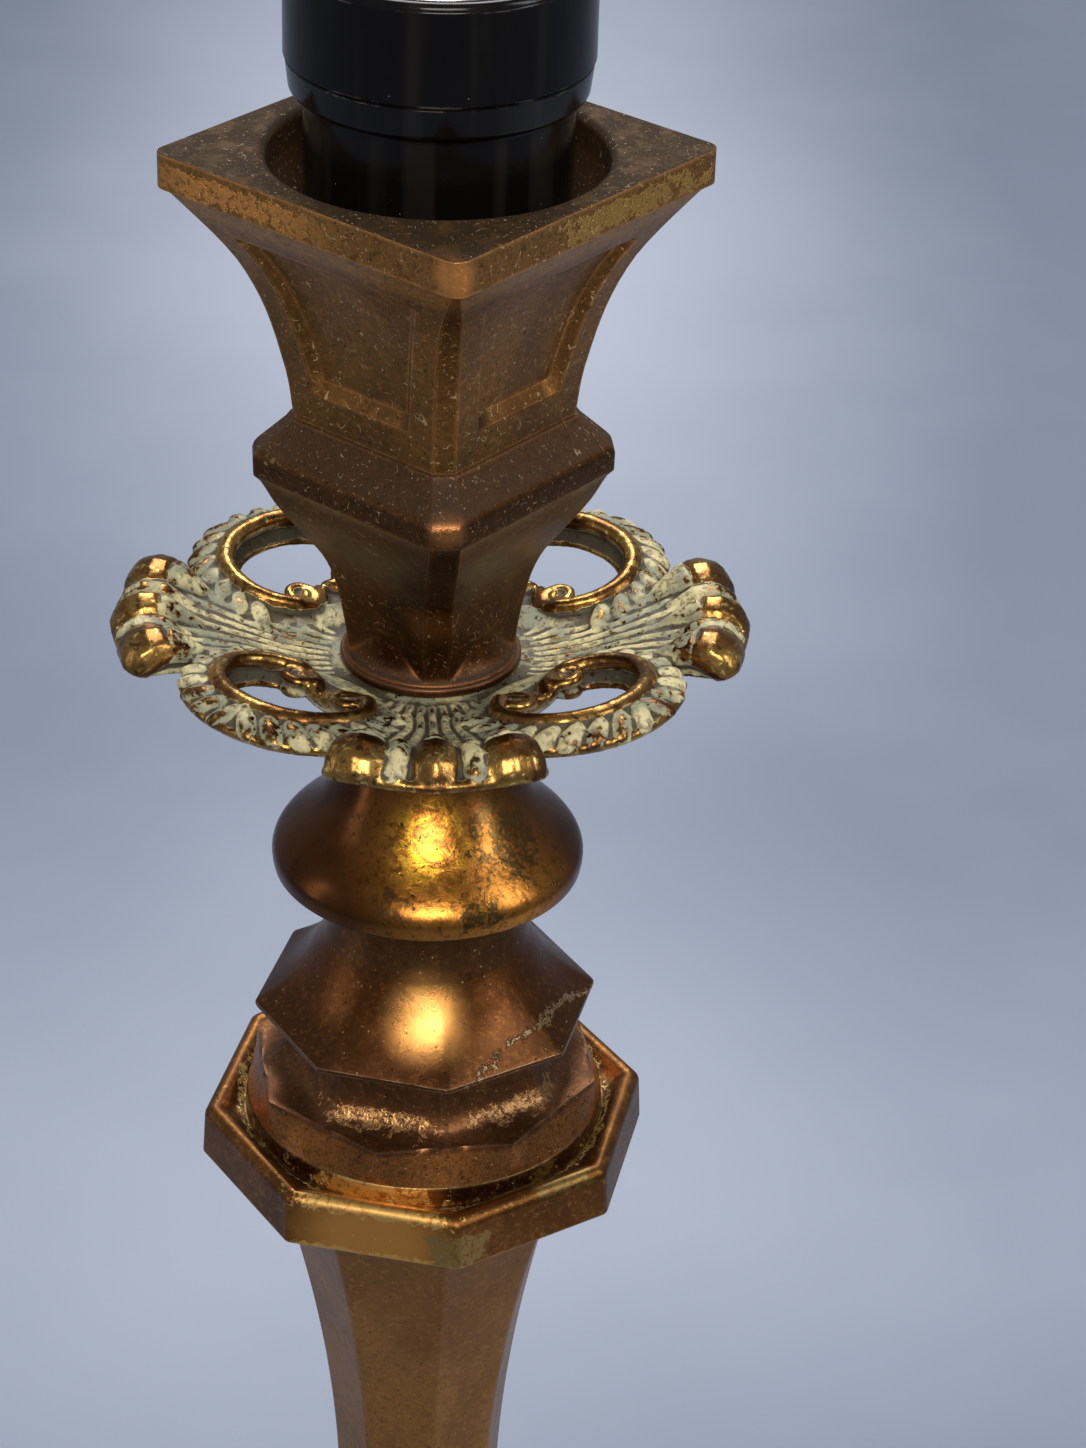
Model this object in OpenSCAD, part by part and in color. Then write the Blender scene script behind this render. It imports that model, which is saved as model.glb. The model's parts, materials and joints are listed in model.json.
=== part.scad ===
// Torchiere floor lamp: a cast brass cup and a pierced disc on an octagonal column,
// with a black screw lampholder in the cup. Millimetres, floor at Z = 0, +Z up.

/* [Base] */
// Corner radius of the octagonal base
base_r = 140; // [125:1:165]
// Height of the base casting, from the felt to the base collar
base_h = 45; // [42:1:60]
// Height of the upright rim of the base
rim_h = 15; // [14:0.5:17]
// Radius of the rounded edge on top of the rim
rim_round = 6; // [5:0.5:8]
// Corner radius of the step above the rim
step_r = 108; // [95:1:118]
// Height of the step above the rim
step_h = 4; // [3:0.5:6]
// Wall of the base casting
base_wall = 4; // [3:0.5:5]
// Radius of the hub inside the base casting
base_hub_r = 14; // [12:0.5:20]
// Thickness of the felt ring under the base
felt_t = 3; // [2.5:0.5:5]
// Width of the felt ring
felt_w = 22; // [15:1:28]
// Thickness of the steel plate under the weight
plate_t = 1.5; // [1:0.25:2]
// Thickness of the lower slab of the iron weight
weight_low_h = 12.5; // [12:0.5:13]
// Height of the whole iron weight
weight_h = 24; // [22:0.5:25]
// Corner radius of the upper slab of the iron weight
weight_top_r = 80; // [66:1:84]
// Gap between the weight and the casting
weight_gap = 1.5; // [1:0.25:2]
// Distance of the plate screws from the axis
screw_circle_r = 78; // [60:1:95]
// Thread radius of the plate screws
plate_screw_r = 2; // [1.5:0.25:2.5]

/* [Cable entry] */
// Direction of the cable entry about the axis
entry_angle = 112.5; // [112.5:45:157.5]
// Bore radius of the cable gland
gland_bore_r = 3.6; // [3:0.1:4]
// Outer radius of the gland's neck
gland_neck_r = 5; // [4.8:0.1:5.6]
// Radius of the gland's flange and nut
gland_flange_r = 7; // [6.6:0.1:7]
// Width of the connector block
connector_w = 18; // [14:1:22]
// Length of the connector block
connector_l = 24; // [18:1:30]
// Height of the connector block
connector_h = 9; // [8:0.5:10]
// Distance of the connector block from the axis
connector_x = 62; // [50:1:80]

/* [Column] */
// Height of the collar on the base
base_collar_h = 24; // [18:1:36]
// Corner radius of the collar where it meets the base
collar_foot_r = 52; // [46:1:60]
// Corner radius of the lower column at its foot
lower_foot_r = 34; // [30:1:40]
// Height of the lower column
lower_column_h = 560; // [400:10:650]
// Corner radius of the lower column above its foot
lower_shaft_r = 22; // [20:0.5:26]
// Corner radius of the lower column at its top
lower_top_r = 18; // [16:0.5:20]
// Height of the flared foot of the lower column
lower_foot_h = 60; // [40:1:90]
// Height of each ring at the break in the column
break_ring_h = 12; // [10:0.5:16]
// Corner radius of each ring at the break
break_ring_r = 27; // [24:0.5:32]
// Height of the knop between the two rings
knop_h = 44; // [36:1:60]
// Corner radius of the knop
knop_r = 30; // [26:0.5:36]
// Corner radius of the knop's two ends
knop_end_r = 20; // [18:0.5:23]
// Height of the upper column
upper_column_h = 622.5; // [450:0.5:700]
// Corner radius of the upper column at its foot
upper_foot_r = 19; // [17:0.5:23]
// Corner radius of the upper column at its narrowest
upper_neck_r = 14.2; // [13:0.1:15]
// Corner radius of the upper column under the flange
upper_top_r = 27.4; // [24:0.1:31]
// Height of the upper column's flare
upper_flare_h = 82; // [60:1:110]
// Bore radius of the two column castings
column_bore_r = 8.5; // [8:0.1:9.5]

/* [Octagon flange, collar and bell] */
// Height of the octagonal flange
flange_h = 10.6; // [9:0.1:13]
// Corner radius of the flange
flange_r = 36.9; // [34:0.1:40]
// Height of the flange's upright face
flange_face_h = 7.2; // [5:0.1:7.5]
// Radius of the round seat on the flange
seat_r = 29.5; // [28.5:0.1:30.5]
// Height of the hollow collar above the seat
collar_h = 17.4; // [15:0.1:21]
// Height of the band at the collar's foot
collar_band_h = 6; // [4:0.1:8]
// Corner radius of the band's upper edge
collar_band_r = 29.2; // [28:0.1:29.4]
// Corner radius of the collar at its top
collar_top_r = 22; // [19:0.1:24]
// Corner radius of the bell's lower edge
bell_r = 28.2; // [26:0.1:30]
// Height of the bell
bell_h = 27.2; // [24:0.1:32]
// Radius of the bell's neck
bell_neck_r = 14.5; // [13:0.1:16]
// Turn of the bell and the collar about the axis
bell_turn = -1.5; // [-10:0.5:10]

/* [Knob and pierced disc] */
// Height of the round knob
knob_h = 34.3; // [30:0.1:40]
// Largest radius of the knob
knob_r = 25.1; // [22:0.1:27]
// Radius of the knob's neck under the disc
knob_neck_r = 12; // [10:0.1:14]
// Radius of the knob's sharp lower rim
knob_rim_r = 24.8; // [21:0.1:26]
// Thickness of the disc at its hub
disc_hub_t = 3.5; // [3:0.1:5]
// Radius of the disc's flat hub
disc_hub_r = 20; // [18:0.1:21]
// Radius of the disc at its four shells
disc_r = 50.1; // [48:0.1:54]
// Rise of the disc's lower face from hub to edge
disc_rise = 8.5; // [6:0.1:10]
// Thickness of the disc at its edge
disc_edge_t = 3.6; // [3:0.1:5]
// Radius of the rolled bulbs on the shells
bulb_r = 4.2; // [3.5:0.1:5]
// Distance of each loop's centre from the axis
loop_x = 31; // [30:0.1:32]
// Half width of a loop, along the disc's radius
loop_half_x = 14; // [13:0.1:14.5]
// Half width of a loop, across the radius
loop_half_y = 17; // [15:0.1:18]
// Width of a loop's rim
loop_rim = 5.5; // [4.5:0.1:6.5]
// Turn of the disc about the axis
disc_turn = -7.9; // [-15:0.1:15]

/* [Stem and cup] */
// Radius of the round ring at the stem's foot
foot_ring_r = 15.5; // [15:0.1:18]
// Height of the ring at the stem's foot
foot_ring_h = 1.5; // [1:0.1:3]
// Height of the tapered part of the stem
stem_taper_h = 30.4; // [26:0.1:38]
// Corner radius of the stem at its foot
stem_foot_r = 14.6; // [12.5:0.1:15]
// Height of the band round the middle flange
mid_band_h = 4.8; // [3:0.1:7]
// Height of the sloped top of the middle flange
mid_slope_h = 5.3; // [4:0.1:7]
// Corner radius of the middle flange
mid_r = 29.5; // [27:0.1:32]
// Height of the cup
cup_h = 42.5; // [40:0.1:48]
// Corner radius of the cup's top plate
cup_r = 41.8; // [41:0.1:45]
// Height of the band round the cup's top plate
cup_band_h = 5; // [3.5:0.1:6]
// Corner radius of the cup's flare under the band
cup_flare_r = 40.8; // [38.5:0.1:40.9]
// Corner radius of the cup at its foot
cup_foot_r = 22.7; // [20.5:0.1:23]
// Radius of the round mouth of the cup
cup_mouth_r = 25.2; // [24:0.1:25.6]
// Width cut off the corners of the cup and the stem
corner_cut = 1.65; // [1:0.05:2]
// Margin between a corner and the sunk panel beside it
panel_margin = 7.2; // [6:0.1:9]
// Depth of the sunk panels
panel_depth = 1.5; // [0.5:0.1:1.8]
// Turn of the cup and the stem about the axis
cup_turn = -5; // [-15:0.5:15]

/* [Lampholder] */
// Outer radius of the lampholder's skirt
skirt_r = 22.5; // [22:0.1:23.5]
// Radius of the lampholder's mouth
skirt_bore_r = 19.9; // [19.6:0.1:20.2]
// Height of the skirt's rim above the cup
skirt_top = 30; // [28:0.5:36]
// Height of the seam between cap and skirt above the cup
seam_z = 14.8; // [14:0.1:16]
// Outer radius of the lampholder's cap
cap_r = 19.9; // [19.8:0.1:20.6]
// Wall of the cap
cap_wall = 2; // [1.8:0.1:2.2]
// Radius of the threaded boss under the cap
boss_r = 8.5; // [7.5:0.1:9]
// Inner radius of the screw shell
shell_r = 13.7; // [13.5:0.1:14]
// Sheet thickness of the screw shell
shell_t = 0.5; // [0.3:0.05:0.6]
// Height of the screw shell
shell_h = 23; // [21:0.5:25]
// Radius of the sprung centre contact
contact_r = 4.5; // [4.3:0.1:5]
// Radius of the centre contact's pin
contact_pin_r = 1.5; // [1.3:0.05:1.8]
// Travel of the centre contact
contact_travel = 2; // [1.5:0.1:2.5]
// Wire radius of the contact spring
spring_wire_r = 0.3; // [0.2:0.05:0.4]
// Coil radius of the contact spring
spring_r = 2.9; // [2.7:0.1:3.1]

/* [Rod and fasteners] */
// Radius of the threaded centre rod
rod_r = 5; // [4.8:0.1:5.2]
// Bore radius of the centre rod
rod_bore_r = 3.6; // [3.4:0.1:3.8]
// Half width across the flats of the locknuts
nut_flat_r = 8.5; // [8:0.1:9]
// Thickness of the lower locknut
base_nut_t = 5; // [4:0.25:5.5]
// Thickness of the locknut in the cup
cup_nut_t = 4.5; // [4:0.25:5]
// Thickness of the washers under the locknuts
washer_t = 1.5; // [1:0.25:2]
// Radius of the washers under the locknuts
washer_r = 11; // [10.5:0.1:11.5]
// Outer radius of the sleeve that joins the rods
sleeve_r = 7.8; // [7:0.1:8]
// Length of the sleeve that joins the rods
sleeve_l = 30; // [24:1:34]
// Radius of one insulated core of the inner lead
core_r = 1.3; // [1.1:0.05:1.4]
// Radial clearance of a thread
thread_gap = 0.05; // [0.02:0.01:0.1]
// Radial clearance of the rod in the castings
rod_gap = 0.3; // [0.2:0.05:0.6]
// Radial clearance of the centre contact's pin
contact_gap = 0.06; // [0.04:0.01:0.1]
// Clearance of pieces that seat in each other
seat_gap = 0.3; // [0.2:0.05:0.5]

/* [Hidden] */

$fn = 72;
bore_fn = 96;
nothing = 0.01;
octagon_flat = cos(22.5);

// Levels, from the floor up
base_z = felt_t;
collar_z = base_z + base_h;
lower_z = collar_z + base_collar_h;
break_z = lower_z + lower_column_h;
knop_z = break_z + break_ring_h;
upper_ring_z = knop_z + knop_h;
upper_z = upper_ring_z + break_ring_h;
flange_z = upper_z + upper_column_h;
seat_z = flange_z + flange_h;
bell_z = seat_z + collar_h;
knob_z = bell_z + bell_h;
disc_z = knob_z + knob_h;
ring_z = disc_z + disc_hub_t;
stem_z = ring_z + foot_ring_h;
band_z = stem_z + stem_taper_h;
cup_z = band_z + mid_band_h + mid_slope_h;
cup_top = cup_z + cup_h;

// Rod, nuts and washers
cup_floor_t = 6.5;
cup_floor_z = cup_z + cup_floor_t;
cup_nut_z = cup_floor_z + washer_t;
boss_z = cup_nut_z + cup_nut_t + 1;
boss_h = 7;
rod_top_z = boss_z + boss_h + 1;
plate_top_z = base_z + plate_t;
weight_top_z = plate_top_z + weight_h;
well_r = 16;
well_top_z = weight_top_z - 8.5;
rod_foot_z = well_top_z - washer_t - base_nut_t - 1;
rod_joint_z = knop_z + knop_h / 2;
rod_end_gap = 1;
hole_r = rod_r + rod_gap;
nut_corner_r = nut_flat_r / cos(30);

// Inside the base
weight_r = base_r - base_wall - weight_gap;
gland_nut_t = 3;
rim_flat = base_r * octagon_flat;
rim_inner_flat = (base_r - base_wall) * octagon_flat;
plate_r = (rim_inner_flat - gland_nut_t - weight_gap) / octagon_flat;
pocket_w = 26;
pocket_in_x = 55;
channel_w = 9;
channel_h = 9;
gland_z = base_z + 8;
gland_flange_t = 2;
gland_in = 5;
lead_bend_r = 7;
core_gap = 0.1;
core_x = core_r + core_gap;
lead_z = plate_top_z + 3.5;

// Lampholder levels
cap_dome_z = cup_top - 6.5;
insulator_z = cup_top - 4.5;
insulator_t = 8;
insulator_r = cap_r - cap_wall - seat_gap;
shell_z = insulator_z + insulator_t;
contact_z = shell_z + 3;
contact_t = 1.5;
foot_plate_t = 0.4;
foot_t = 1.2;
contact_foot_z = insulator_z - foot_plate_t - seat_gap - foot_t;
pocket_r = spring_r + spring_wire_r + 0.8;
pocket_floor_z = shell_z - 4;
terminal_x = 9;
terminal_l = 7.6;
terminal_w = 5;
terminal_h = 6;
terminal_screw_x = 10.5;
terminal_screw_r = 1.2;
terminal_wire_x = 7.2;
strand_r = 0.7;
link_r = 1;

// Shape of the column's feet and heads
column_power = 2.2;

// A point list on a power curve from [r0, z0] to [r1, z1], steep at its end
function flare(r0, z0, r1, z1, power, steps = 14) =
  [for (i = [0 : steps]) let (t = i / steps) [r0 + (r1 - r0) * pow(t, power), z0 + (z1 - z0) * t]];

// A point list on a power curve from [r0, z0] to [r1, z1], steep at its start
function flare_down(r0, z0, r1, z1, power, steps = 14) =
  [for (i = [0 : steps]) let (t = i / steps)
    [r1 + (r0 - r1) * pow(1 - t, power), z0 + (z1 - z0) * t]];

// A point list on an elliptical arc about [r, z]
function arc(r, z, half_r, half_z, from, to, steps = 6) =
  [for (i = [0 : steps]) let (a = from + (to - from) * i / steps)
    [r + half_r * cos(a), z + half_z * sin(a)]];

// A point list on a cubic curve with two end points and two handles
function curve(a, b, c, d, steps = 10) =
  [for (i = [0 : steps]) let (t = i / steps, s = 1 - t)
    s * s * s * a + 3 * s * s * t * b + 3 * s * t * t * c + t * t * t * d];

// An eight-sided turning with its corners on the X and Y axes
module octagon_turning(profile) {
  rotate_extrude($fn = 8) polygon(profile);
}

// A four-sided turning with its faces square to the X and Y axes
module square_turning(profile) {
  rotate([0, 0, 45]) rotate_extrude($fn = 4) polygon(profile);
}

module round_turning(profile) {
  rotate_extrude($fn = bore_fn) polygon(profile);
}

module turned(angle) {
  rotate([0, 0, angle]) children();
}

module bore(r, z0, z1) {
  translate([0, 0, z0 - nothing]) cylinder(r = r, h = z1 - z0 + 2 * nothing, $fn = bore_fn);
}

module tube(outer, inner, z0, z1) {
  translate([0, 0, z0]) difference() {
    cylinder(r = outer, h = z1 - z0, $fn = bore_fn);
    bore(inner, 0, z1 - z0);
  }
}

module hex_nut(corner_r, inner, z0, z1) {
  translate([0, 0, z0]) difference() {
    cylinder(r = corner_r, h = z1 - z0, $fn = 6);
    bore(inner, 0, z1 - z0);
  }
}

// ---- Base ----

module felt_ring() {
  color("darkgreen") difference() {
    cylinder(r = base_r - 2, h = felt_t, $fn = 8);
    translate([0, 0, -nothing])
      cylinder(r = base_r - 2 - felt_w, h = felt_t + 2 * nothing, $fn = 8);
  }
}

module plate_screw_places() {
  for (k = [0 : 3]) turned(entry_angle + 45 + 90 * k) translate([screw_circle_r, 0, 0]) children();
}

module base_plate() {
  color("dimgray") difference() {
    translate([0, 0, base_z]) cylinder(r = plate_r, h = plate_t, $fn = 8);
    bore(well_r, base_z, plate_top_z);
    plate_screw_places() bore(plate_screw_r + seat_gap, base_z, plate_top_z);
  }
}

module base_weight() {
  screw_hole_h = 10;
  color("darkslategray") difference() {
    union() {
      translate([0, 0, plate_top_z]) cylinder(r = weight_r, h = weight_low_h, $fn = 8);
      translate([0, 0, plate_top_z]) cylinder(r = weight_top_r, h = weight_h, $fn = 8);
    }
    bore(hole_r, plate_top_z, weight_top_z);
    bore(well_r, plate_top_z, well_top_z);
    plate_screw_places() bore(plate_screw_r + thread_gap, plate_top_z, plate_top_z + screw_hole_h);
    turned(entry_angle) {
      translate([0, -channel_w / 2, plate_top_z - nothing])
        cube([pocket_in_x + 1, channel_w, channel_h + nothing]);
      translate([pocket_in_x, -pocket_w / 2, plate_top_z - nothing])
        cube([base_r, pocket_w, weight_low_h + 2 * nothing]);
    }
  }
}

module plate_screws() {
  head_r = 3.6;
  head_h = 1.8;
  screw_l = 9;
  color("silver") plate_screw_places() union() {
    translate([0, 0, base_z - head_h]) cylinder(r = head_r, h = head_h);
    translate([0, 0, base_z - nothing])
      cylinder(r = plate_screw_r, h = plate_t + screw_l + nothing);
  }
}

module base_casting() {
  top_t = 5;
  riser_z = base_z + rim_h + rim_round;
  cove_z = riser_z + step_h;
  cove_power = 2.3;
  collar_margin = 2;
  outside = concat(
    [[0, base_z], [base_r, base_z]],
    arc(base_r - rim_round, base_z + rim_h, rim_round, rim_round, 0, 90),
    [[step_r, riser_z]],
    flare_down(step_r, cove_z, collar_foot_r + collar_margin, collar_z, cove_power),
    [[0, collar_z]]
  );
  cavity = [
    [0, base_z - 1],
    [base_r - base_wall, base_z - 1],
    [base_r - base_wall, riser_z - base_wall],
    [step_r - base_wall, riser_z - base_wall],
    [step_r - base_wall, cove_z - base_wall],
    [weight_top_r + weight_gap, weight_top_z + weight_gap],
    [collar_foot_r + 10, collar_z - 12],
    [collar_foot_r - base_wall, collar_z - top_t],
    [0, collar_z - top_t]
  ];
  color("saddlebrown") difference() {
    union() {
      difference() {
        octagon_turning(outside);
        octagon_turning(cavity);
      }
      translate([0, 0, weight_top_z])
        cylinder(r = base_hub_r, h = collar_z - top_t - weight_top_z + 1, $fn = bore_fn);
    }
    bore(hole_r, weight_top_z, collar_z);
    turned(entry_angle) translate([rim_inner_flat - 1, 0, gland_z])
      rotate([0, 90, 0]) cylinder(r = gland_neck_r + thread_gap, h = base_wall + 2, $fn = bore_fn);
  }
}

module base_washer() {
  color("silver") tube(washer_r, hole_r, well_top_z - washer_t, well_top_z);
}

module base_locknut() {
  top = well_top_z - washer_t;
  color("silver") hex_nut(nut_corner_r, rod_r + thread_gap, top - base_nut_t, top);
}

module entry_frame() {
  turned(entry_angle) translate([0, 0, gland_z]) rotate([0, 90, 0]) children();
}

module cable_gland() {
  color("black") entry_frame() difference() {
    union() {
      translate([0, 0, rim_inner_flat - gland_in])
        cylinder(r = gland_neck_r, h = rim_flat - rim_inner_flat + gland_in + nothing);
      translate([0, 0, rim_flat]) cylinder(r = gland_flange_r, h = gland_flange_t);
    }
    bore(gland_bore_r, rim_inner_flat - gland_in, rim_flat + gland_flange_t);
  }
}

module gland_nut() {
  color("black") entry_frame()
    hex_nut(gland_flange_r, gland_neck_r + thread_gap, rim_inner_flat - gland_nut_t, rim_inner_flat);
}

module connector_block() {
  wire_hole_r = core_r + thread_gap;
  color("ivory") turned(entry_angle) difference() {
    translate([connector_x, -connector_w / 2, plate_top_z])
      cube([connector_l, connector_w, connector_h]);
    for (side = [-1, 1]) translate([connector_x - nothing, side * core_x, lead_z])
      rotate([0, 90, 0]) cylinder(r = wire_hole_r, h = 8, $fn = bore_fn);
  }
}

// The two insulated cores that run from the connector block up to the lampholder
module inner_lead() {
  lead_in = 6;
  splay_z = rod_top_z + 1.5;
  end_z = insulator_z - terminal_h - 0.3;
  elbow_z = lead_z + lead_bend_r;
  bend_r = core_r + 0.05;
  color("darkred") turned(entry_angle) for (side = [-1, 1]) union() {
    translate([lead_bend_r, side * core_x, lead_z]) rotate([0, 90, 0])
      cylinder(r = core_r, h = connector_x + lead_in - lead_bend_r);
    translate([lead_bend_r, side * core_x, elbow_z]) rotate([90, 0, 0])
      rotate([0, 0, 180]) rotate_extrude(angle = 90) translate([lead_bend_r, 0]) circle(core_r);
    translate([0, side * core_x, elbow_z]) cylinder(r = core_r, h = splay_z - elbow_z);
    translate([0, side * core_x, splay_z]) sphere(bend_r);
    core_splay([0, side * core_x, splay_z], [0, side * terminal_wire_x, end_z - 1.5]);
    translate([0, side * terminal_wire_x, end_z - 1.5]) sphere(bend_r);
    translate([0, side * terminal_wire_x, end_z - 1.5]) cylinder(r = core_r, h = 1.5);
    translate([0, side * terminal_wire_x, end_z - nothing]) cylinder(r = strand_r, h = 4);
  }
}

// One straight stretch of core between two points
module core_splay(a, b) {
  d = b - a;
  length = norm(d);
  translate(a) rotate([0, acos(d[2] / length), atan2(d[1], d[0])]) cylinder(r = core_r, h = length);
}

// ---- Column ----

module base_collar() {
  bead_h = 5;
  bead_r = bead_h / 2;
  bead_top_z = collar_z + bead_h;
  head_r = lower_foot_r + 2;
  head_h = 4;
  profile = concat(
    [[0, collar_z], [collar_foot_r, collar_z]],
    arc(collar_foot_r - bead_r, collar_z + bead_r, bead_r, bead_r, -90, 90),
    curve([collar_foot_r - 4, bead_top_z], [collar_foot_r - 8, bead_top_z + 7],
      [head_r + 6, lower_z - 7], [head_r, lower_z - head_h]),
    [[head_r, lower_z], [0, lower_z]]
  );
  color("peru") difference() {
    octagon_turning(profile);
    bore(hole_r, collar_z, lower_z);
  }
}

module lower_column() {
  head_h = 30;
  head_r = lower_top_r + 4;
  foot_band_z = lower_z + 3;
  profile = concat(
    [[0, lower_z], [lower_foot_r, lower_z], [lower_foot_r, foot_band_z]],
    flare_down(lower_foot_r - 2, foot_band_z, lower_shaft_r, lower_z + lower_foot_h, column_power, 10),
    flare(lower_top_r, break_z - head_h, head_r, break_z, column_power, 6),
    [[0, break_z]]
  );
  color("sienna") difference() {
    octagon_turning(profile);
    bore(column_bore_r, lower_z, break_z);
  }
}

// One moulded octagonal ring of the break
module break_ring(z) {
  edge = break_ring_h / 4;
  profile = concat(
    [[0, z], [break_ring_r - edge, z]],
    arc(break_ring_r - edge, z + edge, edge, edge, -90, 0, 4),
    arc(break_ring_r - edge, z + break_ring_h - edge, edge, edge, 0, 90, 4),
    [[0, z + break_ring_h]]
  );
  difference() {
    octagon_turning(profile);
    bore(column_bore_r, z, z + break_ring_h);
  }
}

module lower_break_ring() {
  color("peru") break_ring(break_z);
}

module knop() {
  mid_z = knop_z + knop_h / 2;
  profile = concat(
    [[0, knop_z], [knop_end_r, knop_z], [knop_end_r, knop_z + 2]],
    curve([knop_end_r - 1, knop_z + 4], [knop_end_r, knop_z + 12],
      [knop_r, mid_z - 12], [knop_r, mid_z], 8),
    curve([knop_r, mid_z + 0.5], [knop_r, mid_z + 12],
      [knop_end_r, knop_z + knop_h - 12], [knop_end_r - 1, knop_z + knop_h - 4], 8),
    [[knop_end_r, knop_z + knop_h - 2], [knop_end_r, knop_z + knop_h], [0, knop_z + knop_h]]
  );
  color("sienna") difference() {
    octagon_turning(profile);
    bore(column_bore_r, knop_z, upper_ring_z);
  }
}

module upper_break_ring() {
  color("peru") break_ring(upper_ring_z);
}

module upper_column() {
  flare_power = 2;
  foot_h = 26;
  foot_band_r = upper_foot_r + 3;
  foot_band_z = upper_z + 2;
  profile = concat(
    [[0, upper_z], [foot_band_r, upper_z], [foot_band_r, foot_band_z]],
    flare_down(foot_band_r - 1, foot_band_z, upper_foot_r - 1, upper_z + foot_h, column_power, 6),
    flare(upper_neck_r, flange_z - upper_flare_h, upper_top_r, flange_z, flare_power, 20),
    [[0, flange_z]]
  );
  color("sienna") difference() {
    octagon_turning(profile);
    bore(column_bore_r, upper_z, flange_z);
  }
}

// Three turned washers hold the rod in the middle of the column bores
module centring_washers() {
  washer_h = 3;
  outer = column_bore_r - thread_gap;
  color("goldenrod") {
    tube(outer, hole_r, lower_z, lower_z + washer_h);
    tube(outer, hole_r, break_z - washer_h, break_z);
    tube(outer, hole_r, upper_z, upper_z + washer_h);
  }
}

module lower_rod() {
  color("silver") tube(rod_r, rod_bore_r, rod_foot_z, rod_joint_z - rod_end_gap / 2);
}

module upper_rod() {
  color("silver") tube(rod_r, rod_bore_r, rod_joint_z + rod_end_gap / 2, rod_top_z);
}

module rod_sleeve() {
  color("goldenrod")
    tube(sleeve_r, rod_r + thread_gap, rod_joint_z - sleeve_l / 2, rod_joint_z + sleeve_l / 2);
}

// ---- Flange, collar, bell, knob ----

module octagon_flange() {
  face_z = flange_z + flange_face_h;
  bead_r = 2;
  bead_top_z = seat_z - 1.6;
  groove_z = seat_z - 3.4;
  spigot_h = 5;
  profile = concat(
    [[0, flange_z], [flange_r - 1, flange_z], [flange_r, flange_z + 0.8]],
    arc(flange_r - bead_r, face_z, bead_r, bead_top_z - face_z, 0, 90, 7),
    [[seat_r + 3.9, groove_z + 0.5], [seat_r + 2.9, groove_z], [0, groove_z]]
  );
  color("darkgoldenrod") difference() {
    union() {
      octagon_turning(profile);
      translate([0, 0, groove_z - 1]) cylinder(r = seat_r, h = seat_z - groove_z + 1, $fn = bore_fn);
      translate([0, 0, flange_z - spigot_h])
        cylinder(r = column_bore_r - seat_gap, h = spigot_h + 1, $fn = bore_fn);
    }
    bore(hole_r, flange_z - spigot_h, seat_z);
  }
}

module hollow_collar() {
  band_top_z = seat_z + collar_band_h;
  cove_foot_r = collar_band_r * octagon_flat;
  cove = concat(
    [[0, seat_z + 1], [cove_foot_r, seat_z + 1], [cove_foot_r, band_top_z]],
    arc(cove_foot_r, bell_z - 2.5, cove_foot_r - collar_top_r, bell_z - 2.5 - band_top_z, -90, -180),
    [[collar_top_r, bell_z], [0, bell_z]]
  );
  color("sienna") turned(bell_turn) difference() {
    union() {
      hull() {
        translate([0, 0, seat_z]) cylinder(r = seat_r - 0.2, h = 0.1, $fn = 32);
        turned(22.5) translate([0, 0, band_top_z - 0.1])
          cylinder(r = collar_band_r, h = 0.1, $fn = 8);
      }
      octagon_turning(cove);
    }
    bore(hole_r, seat_z, bell_z);
  }
}

module octagon_bell() {
  edge_h = 1.2;
  over = 0.6;
  hem_r = bell_r * octagon_flat;
  waist = bell_z + bell_h * 0.5;
  profile = concat(
    [[0, bell_z], [bell_r + over, bell_z], [bell_r + over, bell_z + edge_h]],
    curve([hem_r, bell_z + edge_h + 1], [bell_neck_r + 7.5, bell_z + bell_h * 0.19],
      [bell_neck_r + 5, bell_z + bell_h * 0.27], [bell_neck_r + 2.3, waist]),
    curve([bell_neck_r + 2.2, waist + 0.1], [bell_neck_r + 0.9, waist + 4],
      [bell_neck_r, knob_z - 6], [bell_neck_r, knob_z - 4], 5),
    [[bell_neck_r, knob_z], [0, knob_z]]
  );
  color("peru") turned(bell_turn) difference() {
    intersection() {
      round_turning(profile);
      translate([0, 0, bell_z - 1]) cylinder(r = bell_r, h = bell_h + 2, $fn = 8);
    }
    bore(hole_r, bell_z, knob_z);
  }
}

module round_knob() {
  widest_z = knob_z + 2.5;
  profile = concat(
    [[0, knob_z], [knob_rim_r, knob_z], [knob_rim_r + 0.25, knob_z + 1.2]],
    curve([knob_r, widest_z], [knob_r, widest_z + 3.5],
      [knob_neck_r + 9, knob_z + 8.5], [knob_neck_r + 6, knob_z + 12.3]),
    curve([knob_neck_r + 5.9, knob_z + 12.5], [knob_neck_r + 3, knob_z + 16.5],
      [knob_neck_r, knob_z + 21], [knob_neck_r, knob_z + 25]),
    [[knob_neck_r, disc_z], [0, disc_z]]
  );
  color("goldenrod") difference() {
    round_turning(profile);
    bore(hole_r, knob_z, disc_z);
  }
}

// ---- Pierced disc ----

function oval(half_x, half_y, steps = 40) =
  [for (i = [0 : steps - 1]) let (a = 360 * i / steps) [half_x * cos(a), half_y * sin(a)]];

module shell_outline() {
  fan = 26;
  polygon(concat(
    [[0, 0]],
    [for (i = [0 : 12]) let (a = -fan + 2 * fan * i / 12, scallop = 1 - 0.03 * abs(sin(90 * i / 2)))
      [disc_r * scallop * cos(a), disc_r * scallop * sin(a)]]
  ));
}

module disc_outline() {
  difference() {
    union() {
      circle(disc_hub_r);
      for (k = [0 : 3]) rotate(90 * k + 45) shell_outline();
      for (k = [0 : 3]) rotate(90 * k) translate([loop_x, 0]) polygon(oval(loop_half_x, loop_half_y));
    }
    for (k = [0 : 3]) rotate(90 * k) translate([loop_x, 0])
      polygon(oval(loop_half_x - loop_rim, loop_half_y - loop_rim));
  }
}

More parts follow.
